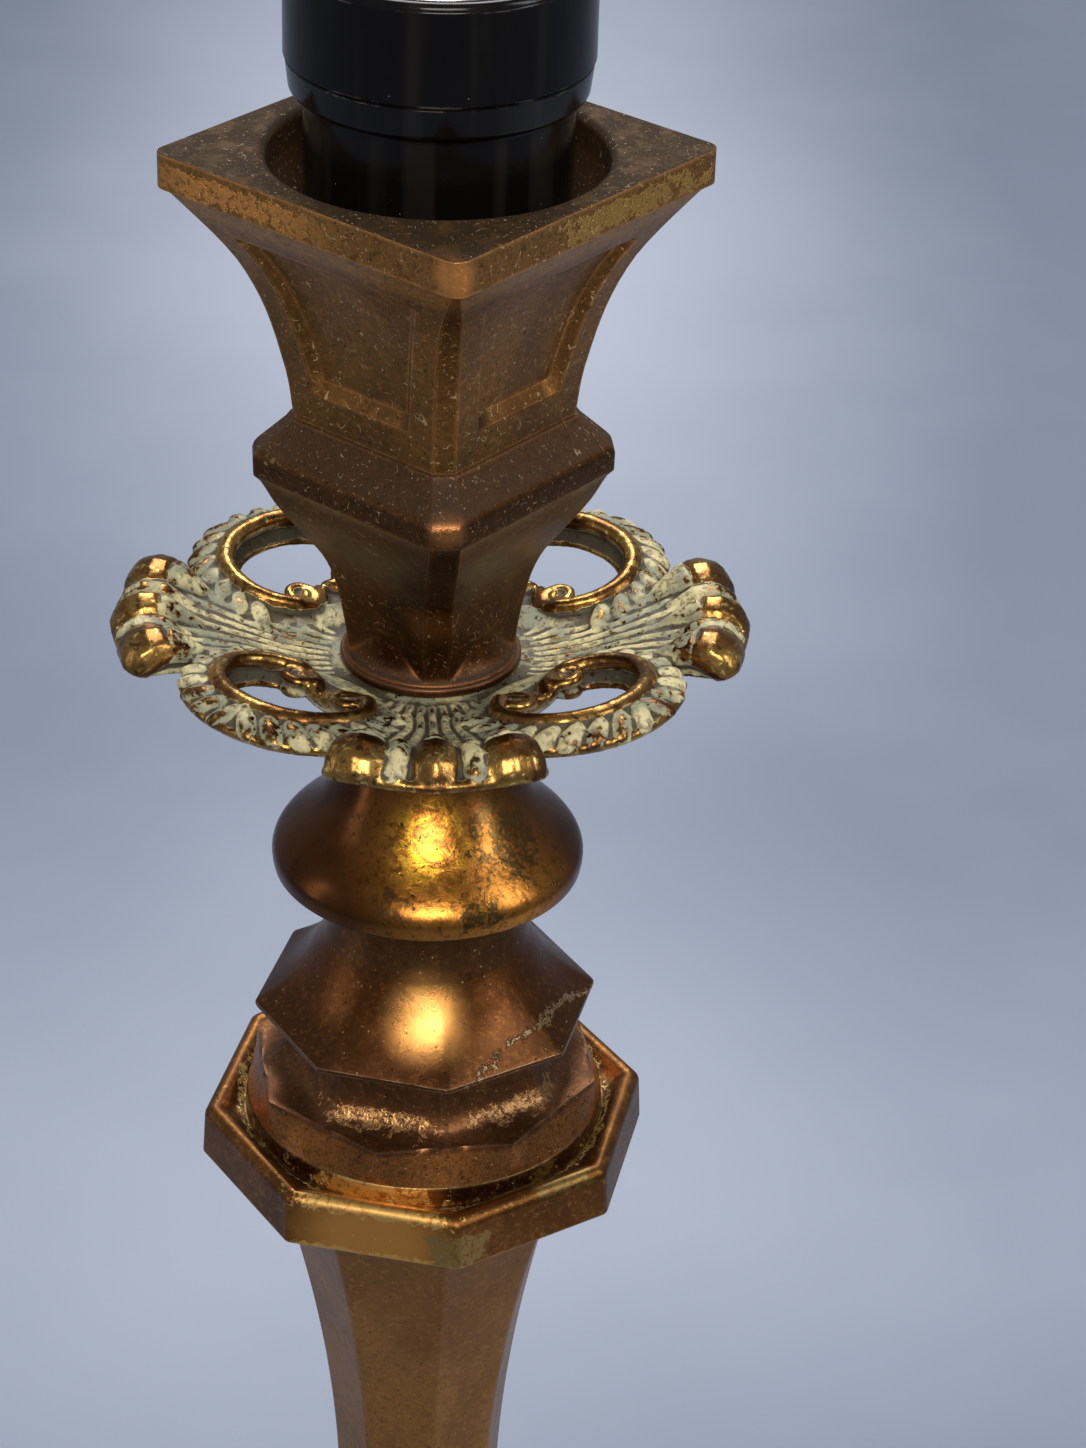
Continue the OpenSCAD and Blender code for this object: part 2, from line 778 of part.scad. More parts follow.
module pierced_disc() {
  hub_z = disc_z + disc_hub_t;
  edge_z = disc_z + disc_rise;
  far = disc_r + 3;
  dish = [
    [hole_r, disc_z], [disc_hub_r, disc_z], [disc_hub_r + 5, disc_z + 1.5],
    [disc_r - 15, disc_z + disc_rise * 0.53], [far, edge_z],
    [far, edge_z + disc_edge_t], [disc_r - 15, disc_z + disc_rise * 0.53 + disc_edge_t],
    [disc_hub_r + 4, hub_z + 1.7], [disc_hub_r - 2, hub_z], [hole_r, hub_z]
  ];
  color("gold") turned(disc_turn) union() {
    intersection() {
      round_turning(dish);
      translate([0, 0, disc_z - 1]) linear_extrude(disc_rise + disc_edge_t + 2) disc_outline();
    }
    for (k = [0 : 3]) for (a = [-13, 0, 13])
      turned(90 * k + 45 + a) translate([disc_r - bulb_r - 0.6, 0, edge_z + disc_edge_t - 1])
        sphere(bulb_r, $fn = 48);
  }
}

module stem_foot_ring() {
  color("chocolate") tube(foot_ring_r, hole_r, ring_z, stem_z);
}

// ---- Stem and cup ----

// A square turning whose corners are cut flat
module chamfered_square(profile, cut) {
  cut_profile = [for (p = profile) [p[0] == 0 ? 0 : (p[0] - cut) / cos(45), p[1]]];
  intersection() {
    square_turning(profile);
    turned(45) square_turning(cut_profile);
  }
}

module stem_casting() {
  band_top_z = band_z + mid_band_h;
  taper_power = 2.1;
  profile = concat(
    [[0, stem_z]],
    flare(stem_foot_r, stem_z, mid_r - 0.9, band_z, taper_power),
    [[mid_r, band_z + 0.3], [mid_r, band_top_z - 0.5], [mid_r - 1.2, band_top_z + 0.3]],
    [[cup_foot_r + 0.4, cup_z], [0, cup_z]]
  );
  color("sienna") turned(cup_turn) difference() {
    chamfered_square(profile, corner_cut);
    bore(hole_r, stem_z, cup_z);
  }
}

function cup_profile(inset) =
  let (flare_top_z = cup_top - cup_band_h - 0.3)
  concat(
    [[0, cup_z]],
    flare(cup_foot_r - inset, cup_z, cup_flare_r - inset, flare_top_z, 2.1),
    [[0, flare_top_z]]
  );

module cup_panels() {
  panel_low_z = cup_z + 5.8;
  panel_high_z = cup_top - 11.8;
  steps = 10;
  side = [for (i = [0 : steps]) let (
      z = panel_low_z + (panel_high_z - panel_low_z) * i / steps,
      t = (z - cup_z) / (cup_h - cup_band_h - 0.3),
      half = (cup_foot_r + (cup_flare_r - cup_foot_r) * pow(t, 2.1)) * cos(45)
    ) [half - panel_margin, z]];
  other = [for (i = [0 : steps]) [-side[steps - i][0], side[steps - i][1]]];
  for (k = [0 : 3]) turned(90 * k) rotate([90, 0, 0])
    linear_extrude(cup_r) polygon(concat(side, other));
}

module cup_casting() {
  band_low_z = cup_top - cup_band_h;
  plate_profile = [
    [0, band_low_z - 0.4], [cup_r - 0.6, band_low_z - 0.3], [cup_r, band_low_z + 0.4],
    [cup_r, cup_top - 0.6], [cup_r - 0.6, cup_top], [0, cup_top]
  ];
  cavity = [
    [0, cup_floor_z], [12, cup_floor_z], [12.6, cup_top - 30], [13.6, cup_top - 26],
    [15.2, cup_top - 21], [17.6, cup_top - 16], [21.5, cup_top - 9.5],
    [cup_mouth_r, cup_top - cup_band_h], [cup_mouth_r, cup_top - 1.2],
    [cup_mouth_r + 0.8, cup_top + nothing], [0, cup_top + nothing]
  ];
  color("saddlebrown") turned(cup_turn) difference() {
    union() {
      chamfered_square(cup_profile(panel_depth / cos(45)), corner_cut);
      difference() {
        chamfered_square(cup_profile(0), corner_cut);
        cup_panels();
      }
      chamfered_square(plate_profile, corner_cut / 2);
    }
    round_turning(cavity);
    bore(hole_r, cup_z, cup_floor_z);
  }
}

module cup_washer() {
  color("silver") tube(washer_r, hole_r, cup_floor_z, cup_nut_z);
}

module cup_locknut() {
  color("silver") hex_nut(nut_corner_r, rod_r + thread_gap, cup_nut_z, cup_nut_z + cup_nut_t);
}

// ---- Lampholder ----

module lampholder_cap() {
  spigot_h = 4;
  shoulder_drop = 5.2;
  shoulder_z = seam_z + cup_top - shoulder_drop;
  shoulder = skirt_r - cap_r;
  inner_r = cap_r - cap_wall;
  low_z = boss_z + boss_h;
  profile = concat(
    [[rod_r + thread_gap, boss_z], [boss_r, boss_z], [boss_r, boss_z + 5]],
    curve([boss_r + 0.5, boss_z + 5.4], [boss_r + 7, boss_z + 9],
      [cap_r, cap_dome_z - 7], [cap_r, cap_dome_z], 8),
    [[cap_r, shoulder_z]],
    arc(cap_r, shoulder_z + shoulder, shoulder, shoulder, -60, 0, 5),
    [[skirt_r, cup_top + seam_z], [skirt_bore_r - thread_gap, cup_top + seam_z]],
    [[skirt_bore_r - thread_gap, cup_top + seam_z + spigot_h], [inner_r, cup_top + seam_z + spigot_h]],
    [[inner_r, insulator_z], [inner_r - 2, insulator_z]],
    curve([inner_r - 2, insulator_z - 1], [inner_r - 2.5, cap_dome_z - 5],
      [boss_r + 4, low_z + 3], [boss_r - 1, low_z], 6),
    [[rod_r + thread_gap, low_z]]
  );
  color("black") round_turning(profile);
}

module lampholder_skirt() {
  low_z = cup_top + seam_z;
  high_z = cup_top + skirt_top;
  lip = 1.1;
  profile = concat(
    [[skirt_bore_r, low_z], [skirt_r - 0.15, low_z], [skirt_r, low_z + 0.3]],
    arc(skirt_r - lip, high_z - lip, lip, lip, 0, 90, 5),
    arc(skirt_bore_r + lip, high_z - lip, lip, lip, 90, 180, 5)
  );
  color("black") round_turning(profile);
}

module holder_insulator() {
  cup_wall = 3;
  cup_rise = 6;
  rim_in_r = insulator_r - cup_wall;
  profile = [
    [contact_pin_r + contact_gap, insulator_z], [insulator_r, insulator_z],
    [insulator_r, shell_z + cup_rise], [rim_in_r, shell_z + cup_rise],
    [rim_in_r, shell_z], [pocket_r, shell_z],
    [pocket_r, pocket_floor_z], [contact_pin_r + contact_gap, pocket_floor_z]
  ];
  color("white") difference() {
    round_turning(profile);
    turned(entry_angle) translate([0, -terminal_x, 0]) bore(link_r + 0.1, insulator_z, shell_z);
  }
}

module screw_shell() {
  floor_in_r = 7;
  foot_in_r = shell_r - 1.1;
  step_z = contact_z + contact_t + 1;
  outer = shell_r + shell_t;
  top = shell_z + shell_h;
  profile = [
    [floor_in_r, shell_z], [foot_in_r + shell_t, shell_z], [foot_in_r + shell_t, step_z - shell_t],
    [outer, step_z - shell_t], [outer, top - 0.6], [outer + 0.7, top], [outer + 0.3, top + 0.3],
    [shell_r, top - 0.5], [shell_r, step_z], [foot_in_r, step_z],
    [foot_in_r, shell_z + shell_t], [floor_in_r, shell_z + shell_t]
  ];
  color("gainsboro") round_turning(profile);
}

module centre_contact() {
  pin_low = contact_foot_z + foot_t;
  foot_r = 2.8;
  profile = concat(
    [[0, contact_foot_z], [foot_r, contact_foot_z], [foot_r, pin_low], [contact_pin_r, pin_low]],
    [[contact_pin_r, contact_z], [contact_r, contact_z], [contact_r, contact_z + contact_t - 0.5]],
    [[contact_r - 1.5, contact_z + contact_t], [0, contact_z + contact_t]]
  );
  color("goldenrod") round_turning(profile);
}

// A helix of round wire between the pocket's floor and the contact's head
module contact_spring() {
  turns = 4;
  per_turn = 14;
  sides = 6;
  low = pocket_floor_z + spring_wire_r;
  high = contact_z - spring_wire_r;
  rings = turns * per_turn;
  points = [for (i = [0 : rings]) for (j = [0 : sides - 1])
    let (a = 360 * i / per_turn, b = 360 * j / sides,
      r = spring_r + spring_wire_r * cos(b))
    [r * cos(a), r * sin(a), low + (high - low) * i / rings + spring_wire_r * sin(b)]];
  walls = [for (i = [0 : rings - 1]) for (j = [0 : sides - 1])
    let (k = (j + 1) % sides)
    [i * sides + j, (i + 1) * sides + j, (i + 1) * sides + k, i * sides + k]];
  first = [for (j = [0 : sides - 1]) j];
  last = [for (j = [0 : sides - 1]) rings * sides + sides - 1 - j];
  color("silver") polyhedron(points, concat([first, last], walls));
}

// Places a terminal made on the +Y side on both sides of the contact
module terminal_sides() {
  for (half = [0, 180]) turned(entry_angle + half) children();
}

module terminal_blocks() {
  low_z = insulator_z - terminal_h;
  color("goldenrod") terminal_sides() difference() {
    translate([-terminal_w / 2, terminal_x - terminal_l / 2, low_z])
      cube([terminal_w, terminal_l, terminal_h]);
    translate([0, terminal_wire_x, 0]) bore(strand_r + 0.1, low_z, low_z + 5);
    translate([0, terminal_screw_x, 0]) bore(terminal_screw_r + thread_gap, low_z, low_z + 4.5);
  }
}

module terminal_screws() {
  low_z = insulator_z - terminal_h;
  head_r = 1.6;
  head_h = 1.4;
  color("silver") terminal_sides() translate([0, terminal_screw_x, 0]) union() {
    translate([0, 0, low_z - head_h]) cylinder(r = head_r, h = head_h);
    translate([0, 0, low_z - nothing]) cylinder(r = terminal_screw_r, h = 4);
  }
}

// The riser that joins one terminal to the screw shell
module shell_link() {
  color("goldenrod") turned(entry_angle) translate([0, -terminal_x, insulator_z])
    cylinder(r = link_r, h = insulator_t);
}

// The strip that joins the other terminal to the centre contact
module contact_link() {
  ring_r = 3;
  reach = terminal_x - terminal_l / 2;
  color("goldenrod") turned(entry_angle) difference() {
    translate([0, 0, insulator_z - foot_plate_t]) union() {
      cylinder(r = ring_r, h = foot_plate_t);
      translate([-1.5, 0, 0]) cube([3, reach, foot_plate_t]);
    }
    bore(contact_pin_r + contact_gap, insulator_z - foot_plate_t, insulator_z);
  }
}

felt_ring();
base_plate();
base_weight();
plate_screws();
base_casting();
base_washer();
base_locknut();
cable_gland();
gland_nut();
connector_block();
inner_lead();
base_collar();
lower_column();
lower_break_ring();
knop();
upper_break_ring();
upper_column();
centring_washers();
lower_rod();
upper_rod();
rod_sleeve();
octagon_flange();
hollow_collar();
octagon_bell();
round_knob();
pierced_disc();
stem_foot_ring();
stem_casting();
cup_casting();
cup_washer();
cup_locknut();
lampholder_cap();
lampholder_skirt();
holder_insulator();
screw_shell();
centre_contact();
contact_spring();
terminal_blocks();
terminal_screws();
shell_link();
contact_link();
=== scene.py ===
# %% [markdown]
# # A torchiere floor lamp: the top of a cast brass column
# The frame already holds every working part at its real size. This lesson gives the lamp its
# looks: it models the castings again with soft edges and ornament, and paints each surface with
# patterns made from nodes. All lengths in the helpers are millimetres, because that is how a
# founder would measure them, and each finished mesh is scaled to metres once.

# %% Load the frame
import json
import math

import bmesh
import bpy
from mathutils import Matrix, Vector, noise
from mathutils.bvhtree import BVHTree

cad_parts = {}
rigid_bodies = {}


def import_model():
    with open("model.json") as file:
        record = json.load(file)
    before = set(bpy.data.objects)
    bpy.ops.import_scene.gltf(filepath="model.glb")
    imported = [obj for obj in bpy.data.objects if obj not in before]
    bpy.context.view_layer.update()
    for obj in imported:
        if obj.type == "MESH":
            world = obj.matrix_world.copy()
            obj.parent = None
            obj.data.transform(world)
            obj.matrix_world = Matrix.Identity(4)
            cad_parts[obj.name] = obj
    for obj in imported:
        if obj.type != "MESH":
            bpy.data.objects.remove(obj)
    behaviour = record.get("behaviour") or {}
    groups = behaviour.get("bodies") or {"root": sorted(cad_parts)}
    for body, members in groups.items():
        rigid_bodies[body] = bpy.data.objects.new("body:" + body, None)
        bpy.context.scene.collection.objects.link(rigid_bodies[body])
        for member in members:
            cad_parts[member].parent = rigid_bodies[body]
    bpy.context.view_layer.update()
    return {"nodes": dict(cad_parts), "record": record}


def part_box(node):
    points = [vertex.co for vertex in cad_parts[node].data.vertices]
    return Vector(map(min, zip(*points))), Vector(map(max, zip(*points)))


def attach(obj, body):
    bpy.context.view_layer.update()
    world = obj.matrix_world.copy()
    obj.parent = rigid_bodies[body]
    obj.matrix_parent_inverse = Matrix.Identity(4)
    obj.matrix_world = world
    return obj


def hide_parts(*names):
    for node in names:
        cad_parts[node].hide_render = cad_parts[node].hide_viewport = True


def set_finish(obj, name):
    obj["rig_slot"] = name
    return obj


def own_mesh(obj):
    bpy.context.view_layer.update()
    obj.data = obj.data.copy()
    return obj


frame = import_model()
MM = 0.001


# %% Where the pieces stand
def span(node):
    """The lowest and highest level of a CAD node, in millimetres."""
    low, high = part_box(node)
    return low.z / MM, high.z / MM


CUP_LOW, CUP_TOP = span("cup_casting")
STEM_LOW, STEM_TOP = span("stem_casting")
RING_LOW, RING_TOP = span("stem_foot_ring")
DISC_LOW, DISC_TOP = span("pierced_disc")
KNOB_LOW, KNOB_TOP = span("round_knob")
BELL_LOW, BELL_TOP = span("octagon_bell")
COLLAR_LOW, COLLAR_TOP = span("hollow_collar")
COLUMN_LOW, COLUMN_TOP = span("upper_column")
print("cup", CUP_LOW, CUP_TOP, "disc", DISC_LOW, DISC_TOP, "column", COLUMN_LOW, COLUMN_TOP)

# The cup, the disc and the bell stand turned a few degrees from each other on the rod.
CUP_TURN = math.radians(-5.0)
DISC_TURN = math.radians(-7.9)
BELL_TURN = math.radians(-1.5)

# Half widths of the holes: round the rod, loosely round it, and through the octagonal columns.
ROD_BORE = 5.3
WIDE_BORE = ROD_BORE * 1.09
COLUMN_BORE = 8.5
WASHER_BORE = COLUMN_BORE / math.cos(math.pi / 8)

# %% [markdown]
# ## Camera, floor and light
# The lamp is seen from above, at about 31 degrees, from half a metre away. The camera is moved
# away from the lamp, turned a little aside, tilted down and rolled, in that order. The light is
# one soft box in front, just above the camera, that puts a bright spot on each round, a broad one
# high up that lights what faces the ceiling, two weak upright strips that draw lines on the
# sides, and a dim world. The dim world matters because metal shows what stands round it: a dark
# room gives polished bronze its dark sides.

# %% Camera
def turn(degrees, axis="Z"):
    """A turn about one axis, the upright one unless another is named."""
    return Matrix.Rotation(math.radians(degrees), 4, axis)


def new_object(name, data):
    """Puts a camera, a lamp, a mesh or a curve into the scene."""
    made = bpy.data.objects.new(name, data)
    bpy.context.scene.collection.objects.link(made)
    return made


FRONT = -54.0
ROUND_THE_LAMP = 35.9
AWAY, ABOVE_CUP = 0.52084, 0.21224
ASIDE, DOWN, ROLL = 1.974, 30.688, 1.890
camera = new_object("camera", bpy.data.cameras.new("camera"))
camera.data.lens = 95.08
camera.data.sensor_width = 36.0
camera.data.clip_start = 0.01
camera.data.clip_end = 100.0
stand = Matrix.Translation((0.0, -AWAY, CUP_TOP * MM + ABOVE_CUP))
look = turn(-ASIDE) @ turn(90 - DOWN, "X") @ turn(ROLL)
camera.matrix_world = turn(ROUND_THE_LAMP) @ stand @ look
bpy.context.scene.camera = camera
bpy.context.scene.view_settings.view_transform = "Standard"
print("camera at", tuple(round(c, 3) for c in camera.matrix_world.translation))


# %% Node helpers
def plug(tree, socket, value):
    """Links a socket to another node's output, or sets it to a number, a vector or a colour."""
    if isinstance(value, bpy.types.NodeSocket):
        tree.links.new(value, socket)
    elif socket.type == "RGBA":
        socket.default_value = (*value, 1.0)
    else:
        socket.default_value = value


def add(tree, kind, values=None, **settings):
    """Adds a shader node. Values are numbers, colours or other nodes' outputs."""
    node = tree.nodes.new("ShaderNode" + kind)
    for key, value in settings.items():
        setattr(node, key, value)
    for key, value in (values or {}).items():
        plug(tree, node.inputs[key], value)
    return node


def maths(tree, operation, a, b=0.0, clamp=False):
    """One sum on two values."""
    return add(tree, "Math", {0: a, 1: b}, operation=operation, use_clamp=clamp).outputs[0]


def plus(tree, a, b, clamp=False):
    return maths(tree, "ADD", a, b, clamp)


def minus(tree, a, b):
    return maths(tree, "SUBTRACT", a, b)


def times(tree, a, b, clamp=False):
    return maths(tree, "MULTIPLY", a, b, clamp)


def larger(tree, a, b):
    return maths(tree, "MAXIMUM", a, b)


def between(tree, value, low, high, to_low=0.0, to_high=1.0):
    """Stretches the part of a value between low and high to the range asked for."""
    node = add(tree, "MapRange", {"Value": value, "From Min": low, "From Max": high,
                                  "To Min": to_low, "To Max": to_high})
    node.interpolation_type = "SMOOTHSTEP"
    return node.outputs[0]


def blend(tree, mask, a, b):
    """Colour a where the mask is 0, colour b where it is 1."""
    return add(tree, "Mix", {0: mask, 6: a, 7: b}, data_type="RGBA").outputs[2]


def here(tree):
    """The piece's own coordinates."""
    return add(tree, "TexCoord").outputs["Object"]


def true_normal(tree):
    """The way the surface faces."""
    return add(tree, "NewGeometry").outputs["Normal"]


def measure(tree, operation, a, b=(0.0, 0.0, 0.0)):
    """A number worked out from two vectors, such as their distance."""
    return add(tree, "VectorMath", {0: a, 1: b}, operation=operation).outputs["Value"]


def own_place(tree, seed=0.0, stretch=(1.0, 1.0, 1.0)):
    """The piece's own coordinates, moved along by a seed so that no two finishes match."""
    moved = (seed, seed * 0.7, seed * 0.3)
    node = add(tree, "Mapping", {"Vector": here(tree), "Location": moved, "Scale": stretch})
    return node.outputs[0]


def grain(tree, size, detail=4.0, rough=0.55, seed=0.0, twist=0.0, stretch=(1.0, 1.0, 1.0)):
    """Cloudy noise whose blots are about that many millimetres wide."""
    node = add(tree, "TexNoise", {"Vector": own_place(tree, seed, stretch), "Detail": detail,
                                  "Scale": 1.0 / (size * MM), "Roughness": rough,
                                  "Distortion": twist})
    return node.outputs["Fac"]


def specks(tree, size, share, seed=0.0):
    """1 inside separate round specks, 0 outside. Share is how much of its cell a speck fills."""
    node = add(tree, "TexVoronoi", {"Vector": own_place(tree, seed), "Scale": 1.0 / (size * MM),
                                    "Randomness": 1.0})
    return between(tree, node.outputs["Distance"], share, share * 0.5)


def fibres(tree, size, width, seed=0.0):
    """Short curled hairs: thin contour lines of one noise, broken up by another."""
    line = maths(tree, "ABSOLUTE", minus(tree, grain(tree, size, 0.0, 0.4, seed), 0.5))
    hair = between(tree, line, width, width * 0.3)
    broken = between(tree, grain(tree, size * 0.5, 1.0, 0.5, seed + 3.0), 0.61, 0.66)
    return times(tree, hair, broken)


def patch(tree, place, reach, ragged=0.0, size=4.0, seed=0.0):
    """1 near a point given in millimetres, 0 beyond its reach, with a ragged border on request."""
    far = measure(tree, "DISTANCE", here(tree), tuple(c * MM for c in place))
    far = maths(tree, "DIVIDE", far, reach * MM)
    if ragged:
        wander = minus(tree, grain(tree, size, 5.0, 0.65, seed), 0.5)
        far = plus(tree, far, times(tree, wander, ragged))
    return between(tree, far, 1.0, 0.92 if ragged else 0.3)


def old_line(tree, centre, reach, width, seed=0.0):
    """The broken edge where a coat of lacquer once stopped: part of a sphere's outline."""
    far = measure(tree, "DISTANCE", here(tree), tuple(c * MM for c in centre))
    wander = times(tree, minus(tree, grain(tree, 2.5, 5.0, 0.7, seed), 0.5), 0.005)
    off = minus(tree, plus(tree, far, wander), reach * MM)
    line = between(tree, maths(tree, "ABSOLUTE", off), width * MM, width * 0.4 * MM)
    return times(tree, line, between(tree, grain(tree, 1.0, 4.0, 0.7, seed + 5.0), 0.42, 0.52))


def toward(bearing, radius, level):
    """A place on a turned piece, by its bearing from the front, its radius and its level."""
    t = math.radians(FRONT + bearing)
    return (radius * math.cos(t), radius * math.sin(t), level)


def height_of(tree, vector):
    """The upright part of a vector."""
    return add(tree, "SeparateXYZ", {0: vector}).outputs[2]


def facing_up(tree):
    """1 on surfaces that look at the ceiling, where dust settles."""
    return between(tree, height_of(tree, true_normal(tree)), 0.35, 0.85)


def worn_edges(tree, width):
    """1 along convex and concave edges: where the rounded normal leaves the true one."""
    rounded = add(tree, "Bevel", {"Radius": width * MM}, samples=4).outputs[0]
    same = measure(tree, "DOT_PRODUCT", rounded, true_normal(tree))
    return between(tree, minus(tree, 1.0, same), 0.015, 0.08)


def facing_axis(tree):
    """1 where a surface faces the lamp's axis, as inside a mouth, 0 where it faces outwards."""
    level_only = add(tree, "VectorMath", {0: here(tree), 1: (1.0, 1.0, 0.0)}, operation="MULTIPLY")
    out = add(tree, "VectorMath", {0: level_only.outputs["Vector"]}, operation="NORMALIZE")
    turned = measure(tree, "DOT_PRODUCT", out.outputs["Vector"], true_normal(tree))
    return between(tree, turned, -0.1, -0.6)


def crevices(tree, reach):
    """1 deep in corners, 0 in the open."""
    node = add(tree, "AmbientOcclusion", {"Distance": reach * MM}, samples=6, only_local=False)
    return between(tree, node.outputs["AO"], 0.95, 0.55)


def bumps(tree, layers):
    """Stacks height patterns, given as (value, depth in millimetres), into one normal."""
    normal = None
    for value, depth in layers:
        node = add(tree, "Bump", {"Height": value, "Distance": depth * MM, "Strength": 1.0})
        if normal is not None:
            tree.links.new(normal, node.inputs["Normal"])
        normal = node.outputs[0]
    return normal


def finish(name):
    """A new material: its node tree and its main shader."""
    made = bpy.data.materials.new(name)
    made.use_nodes = True
    return made, made.node_tree, made.node_tree.nodes["Principled BSDF"]


def wire_up(tree, shader, **sockets):
    """Links or sets the shader's sockets, named in plain words."""
    names = {"colour": "Base Color", "metal": "Metallic", "rough": "Roughness", "normal": "Normal",
             "gloss": "IOR", "specular": "Specular IOR Level"}
    for key, value in sockets.items():
        plug(tree, shader.inputs[names[key]], value)


# %% Floor
EDGE_OF_FLOOR = (0.325, 0.37, 0.46)
LIT_FLOOR = (0.76, 0.82, 0.94)
FAR_FLOOR = (0.80, 0.84, 0.92)


def to_mesh(bm, name):
    """Turns a bmesh into a mesh and lets go of the bmesh."""
    mesh = bpy.data.meshes.new(name)
    bm.to_mesh(mesh)
    bm.free()
    return mesh


def painted_light_pool(tree, away, across, long_half, wide_half):
    """A painted pool of light: 1 in the middle of an oval patch behind the lamp, 0 outside it."""
    behind = math.radians(FRONT + 180)
    centre = (away * math.cos(behind) + across * math.sin(behind),
              away * math.sin(behind) - across * math.cos(behind), 0.0)
    spread = (long_half, wide_half, 1.0)
    laid = add(tree, "Mapping", {"Vector": here(tree), "Location": centre,
                                 "Rotation": (0, 0, behind), "Scale": spread},
               vector_type="TEXTURE").outputs[0]
    return between(tree, measure(tree, "LENGTH", laid), 1.0, 0.0)


# The floor's colour holds painted light: paler pools where the lamps' light would fall, and a
# paler floor far away, where their light has faded.
floor_paint, tree, shader = finish("floor_paint")
drift = between(tree, grain(tree, 400.0, 3.0, 0.5, 4.0), 0.3, 0.7, -0.06, 0.06)
lit = plus(tree, painted_light_pool(tree, 3.6, 0.04, 1.9, 0.68),
           times(tree, painted_light_pool(tree, 1.75, 0.0, 0.66, 0.85), 0.52))
lit = larger(tree, lit, painted_light_pool(tree, -0.4, 2.0, 1.6, 1.5))
lit = plus(tree, lit, drift, True)
distant = between(tree, measure(tree, "LENGTH", here(tree)), 5.0, 12.0)
pale = blend(tree, distant, EDGE_OF_FLOOR, FAR_FLOOR)
wire_up(tree, shader, colour=blend(tree, lit, pale, LIT_FLOOR), rough=0.9, specular=0.1)
bm = bmesh.new()
bmesh.ops.create_grid(bm, x_segments=1, y_segments=1, size=30.0)
floor = new_object("floor", to_mesh(bm, "floor"))
floor.data.materials.append(floor_paint)


# %% Lights
LIT_LEVEL = 1.35


def soft_box(name, bearing, height, distance, size, watts, colour):
    """An area lamp on a bearing about the column, aimed at the lit level on it."""
    data = bpy.data.lights.new(name, "AREA")
    data.shape = "RECTANGLE"
    data.size, data.size_y = size
    data.energy = watts
    data.color = colour
    lamp = new_object(name, data)
    bearing = math.radians(bearing)
    lamp.location = (distance * math.cos(bearing), distance * math.sin(bearing), height)
    aim = Vector((0, 0, LIT_LEVEL)) - lamp.location
    lamp.rotation_euler = aim.to_track_quat("-Z", "Y").to_euler()
    print(name, "at", tuple(round(c, 2) for c in lamp.location))


soft_box("key_box", FRONT + 2, 2.62, 1.6, (0.95, 0.7), 22.0, (1.0, 0.95, 0.88))
soft_box("left_strip", FRONT - 86, 1.75, 1.9, (0.3, 1.5), 2.0, (0.95, 0.97, 1.0))
soft_box("right_strip", FRONT + 68, 2.5, 1.7, (0.4, 1.2), 9.0, (0.95, 0.97, 1.0))
soft_box("top_box", FRONT + 180, 5.6, 3.0, (2.6, 2.6), 195.0, (0.98, 0.98, 1.0))

# %% World
# The world lights the lamp dimly, and only the camera sees a paler backdrop behind the floor.
SKY, SKY_STRENGTH, BACKDROP = (0.80, 0.85, 0.95), 0.25, (0.48, 0.53, 0.63)
world = bpy.data.worlds.new("studio")
bpy.context.scene.world = world
world.use_nodes = True
tree = world.node_tree
sky = tree.nodes["Background"]
plug(tree, sky.inputs["Color"], SKY)
plug(tree, sky.inputs["Strength"], SKY_STRENGTH)
backdrop = add(tree, "Background", {"Color": BACKDROP}).outputs[0]
seen = add(tree, "LightPath").outputs["Is Camera Ray"]
either = add(tree, "MixShader", {0: seen, 1: sky.outputs[0], 2: backdrop}).outputs[0]
tree.links.new(either, tree.nodes["World Output"].inputs["Surface"])

# %% [markdown]
# ## Turned pieces
# Most of the lamp is turned: one outline goes round the rod. bmesh.ops.spin does that, with many
# steps for a round piece and with 8 for an octagonal one, whose corners then get a narrow bevel,
# because cast and filed edges are never knife sharp. Each outline is a closed loop that comes
# back down the bore, so a piece is a real tube round its rod.


# %% Outline helpers
def flare(r0, z0, r1, z1, power, steps=24):
    """Points on a power curve, steep at its end."""
    return [(r0 + (r1 - r0) * (i / steps) ** power, z0 + (z1 - z0) * i / steps)
            for i in range(steps + 1)]


def flare_down(r0, z0, r1, z1, power, steps=16):
    """Points on a power curve, steep at its start."""
    return [(r1 + (r0 - r1) * (1 - i / steps) ** power, z0 + (z1 - z0) * i / steps)
            for i in range(steps + 1)]


def arc(r, z, half_r, half_z, start, end, steps=8):
    """Points on an elliptical arc about (r, z), by angles in degrees."""
    turns = [math.radians(start + (end - start) * i / steps) for i in range(steps + 1)]
    return [(r + half_r * math.cos(t), z + half_z * math.sin(t)) for t in turns]


def curve(a, b, c, d, steps=16):
    """Points on a cubic curve with two ends and two handles."""
    points = []
    for i in range(steps + 1):
        t = i / steps
        s = 1 - t
        weights = (s * s * s, 3 * s * s * t, 3 * s * t * t, t * t * t)
        points.append(tuple(sum(w * p[k] for w, p in zip(weights, (a, b, c, d))) for k in (0, 1)))
    return points


# %% Spin an outline
def raised(points, level):
    """Points drawn from level 0, moved up to a level."""
    return [(r, z + level) for r, z in points]


def spin_outline(outline, steps):
    """A new mesh: a closed outline spun about the rod. An octagon's first corner lies on +X."""
    bm = bmesh.new()
    ring = [bm.verts.new((r, 0, z)) for r, z in outline]
    loop = [bm.edges.new((ring[i], ring[(i + 1) % len(ring)])) for i in range(len(ring))]
    bmesh.ops.spin(bm, geom=ring + loop, cent=(0, 0, 0), axis=(0, 0, 1), angle=math.tau,
                   steps=steps, use_merge=True)
    bmesh.ops.remove_doubles(bm, verts=bm.verts, dist=1e-4)
    bmesh.ops.recalc_face_normals(bm, faces=bm.faces)
    return bm


def join(bm, other):
    """Adds another mesh's faces to this one."""
    mesh = to_mesh(other, "part")
    bm.from_mesh(mesh)
    bpy.data.meshes.remove(mesh)


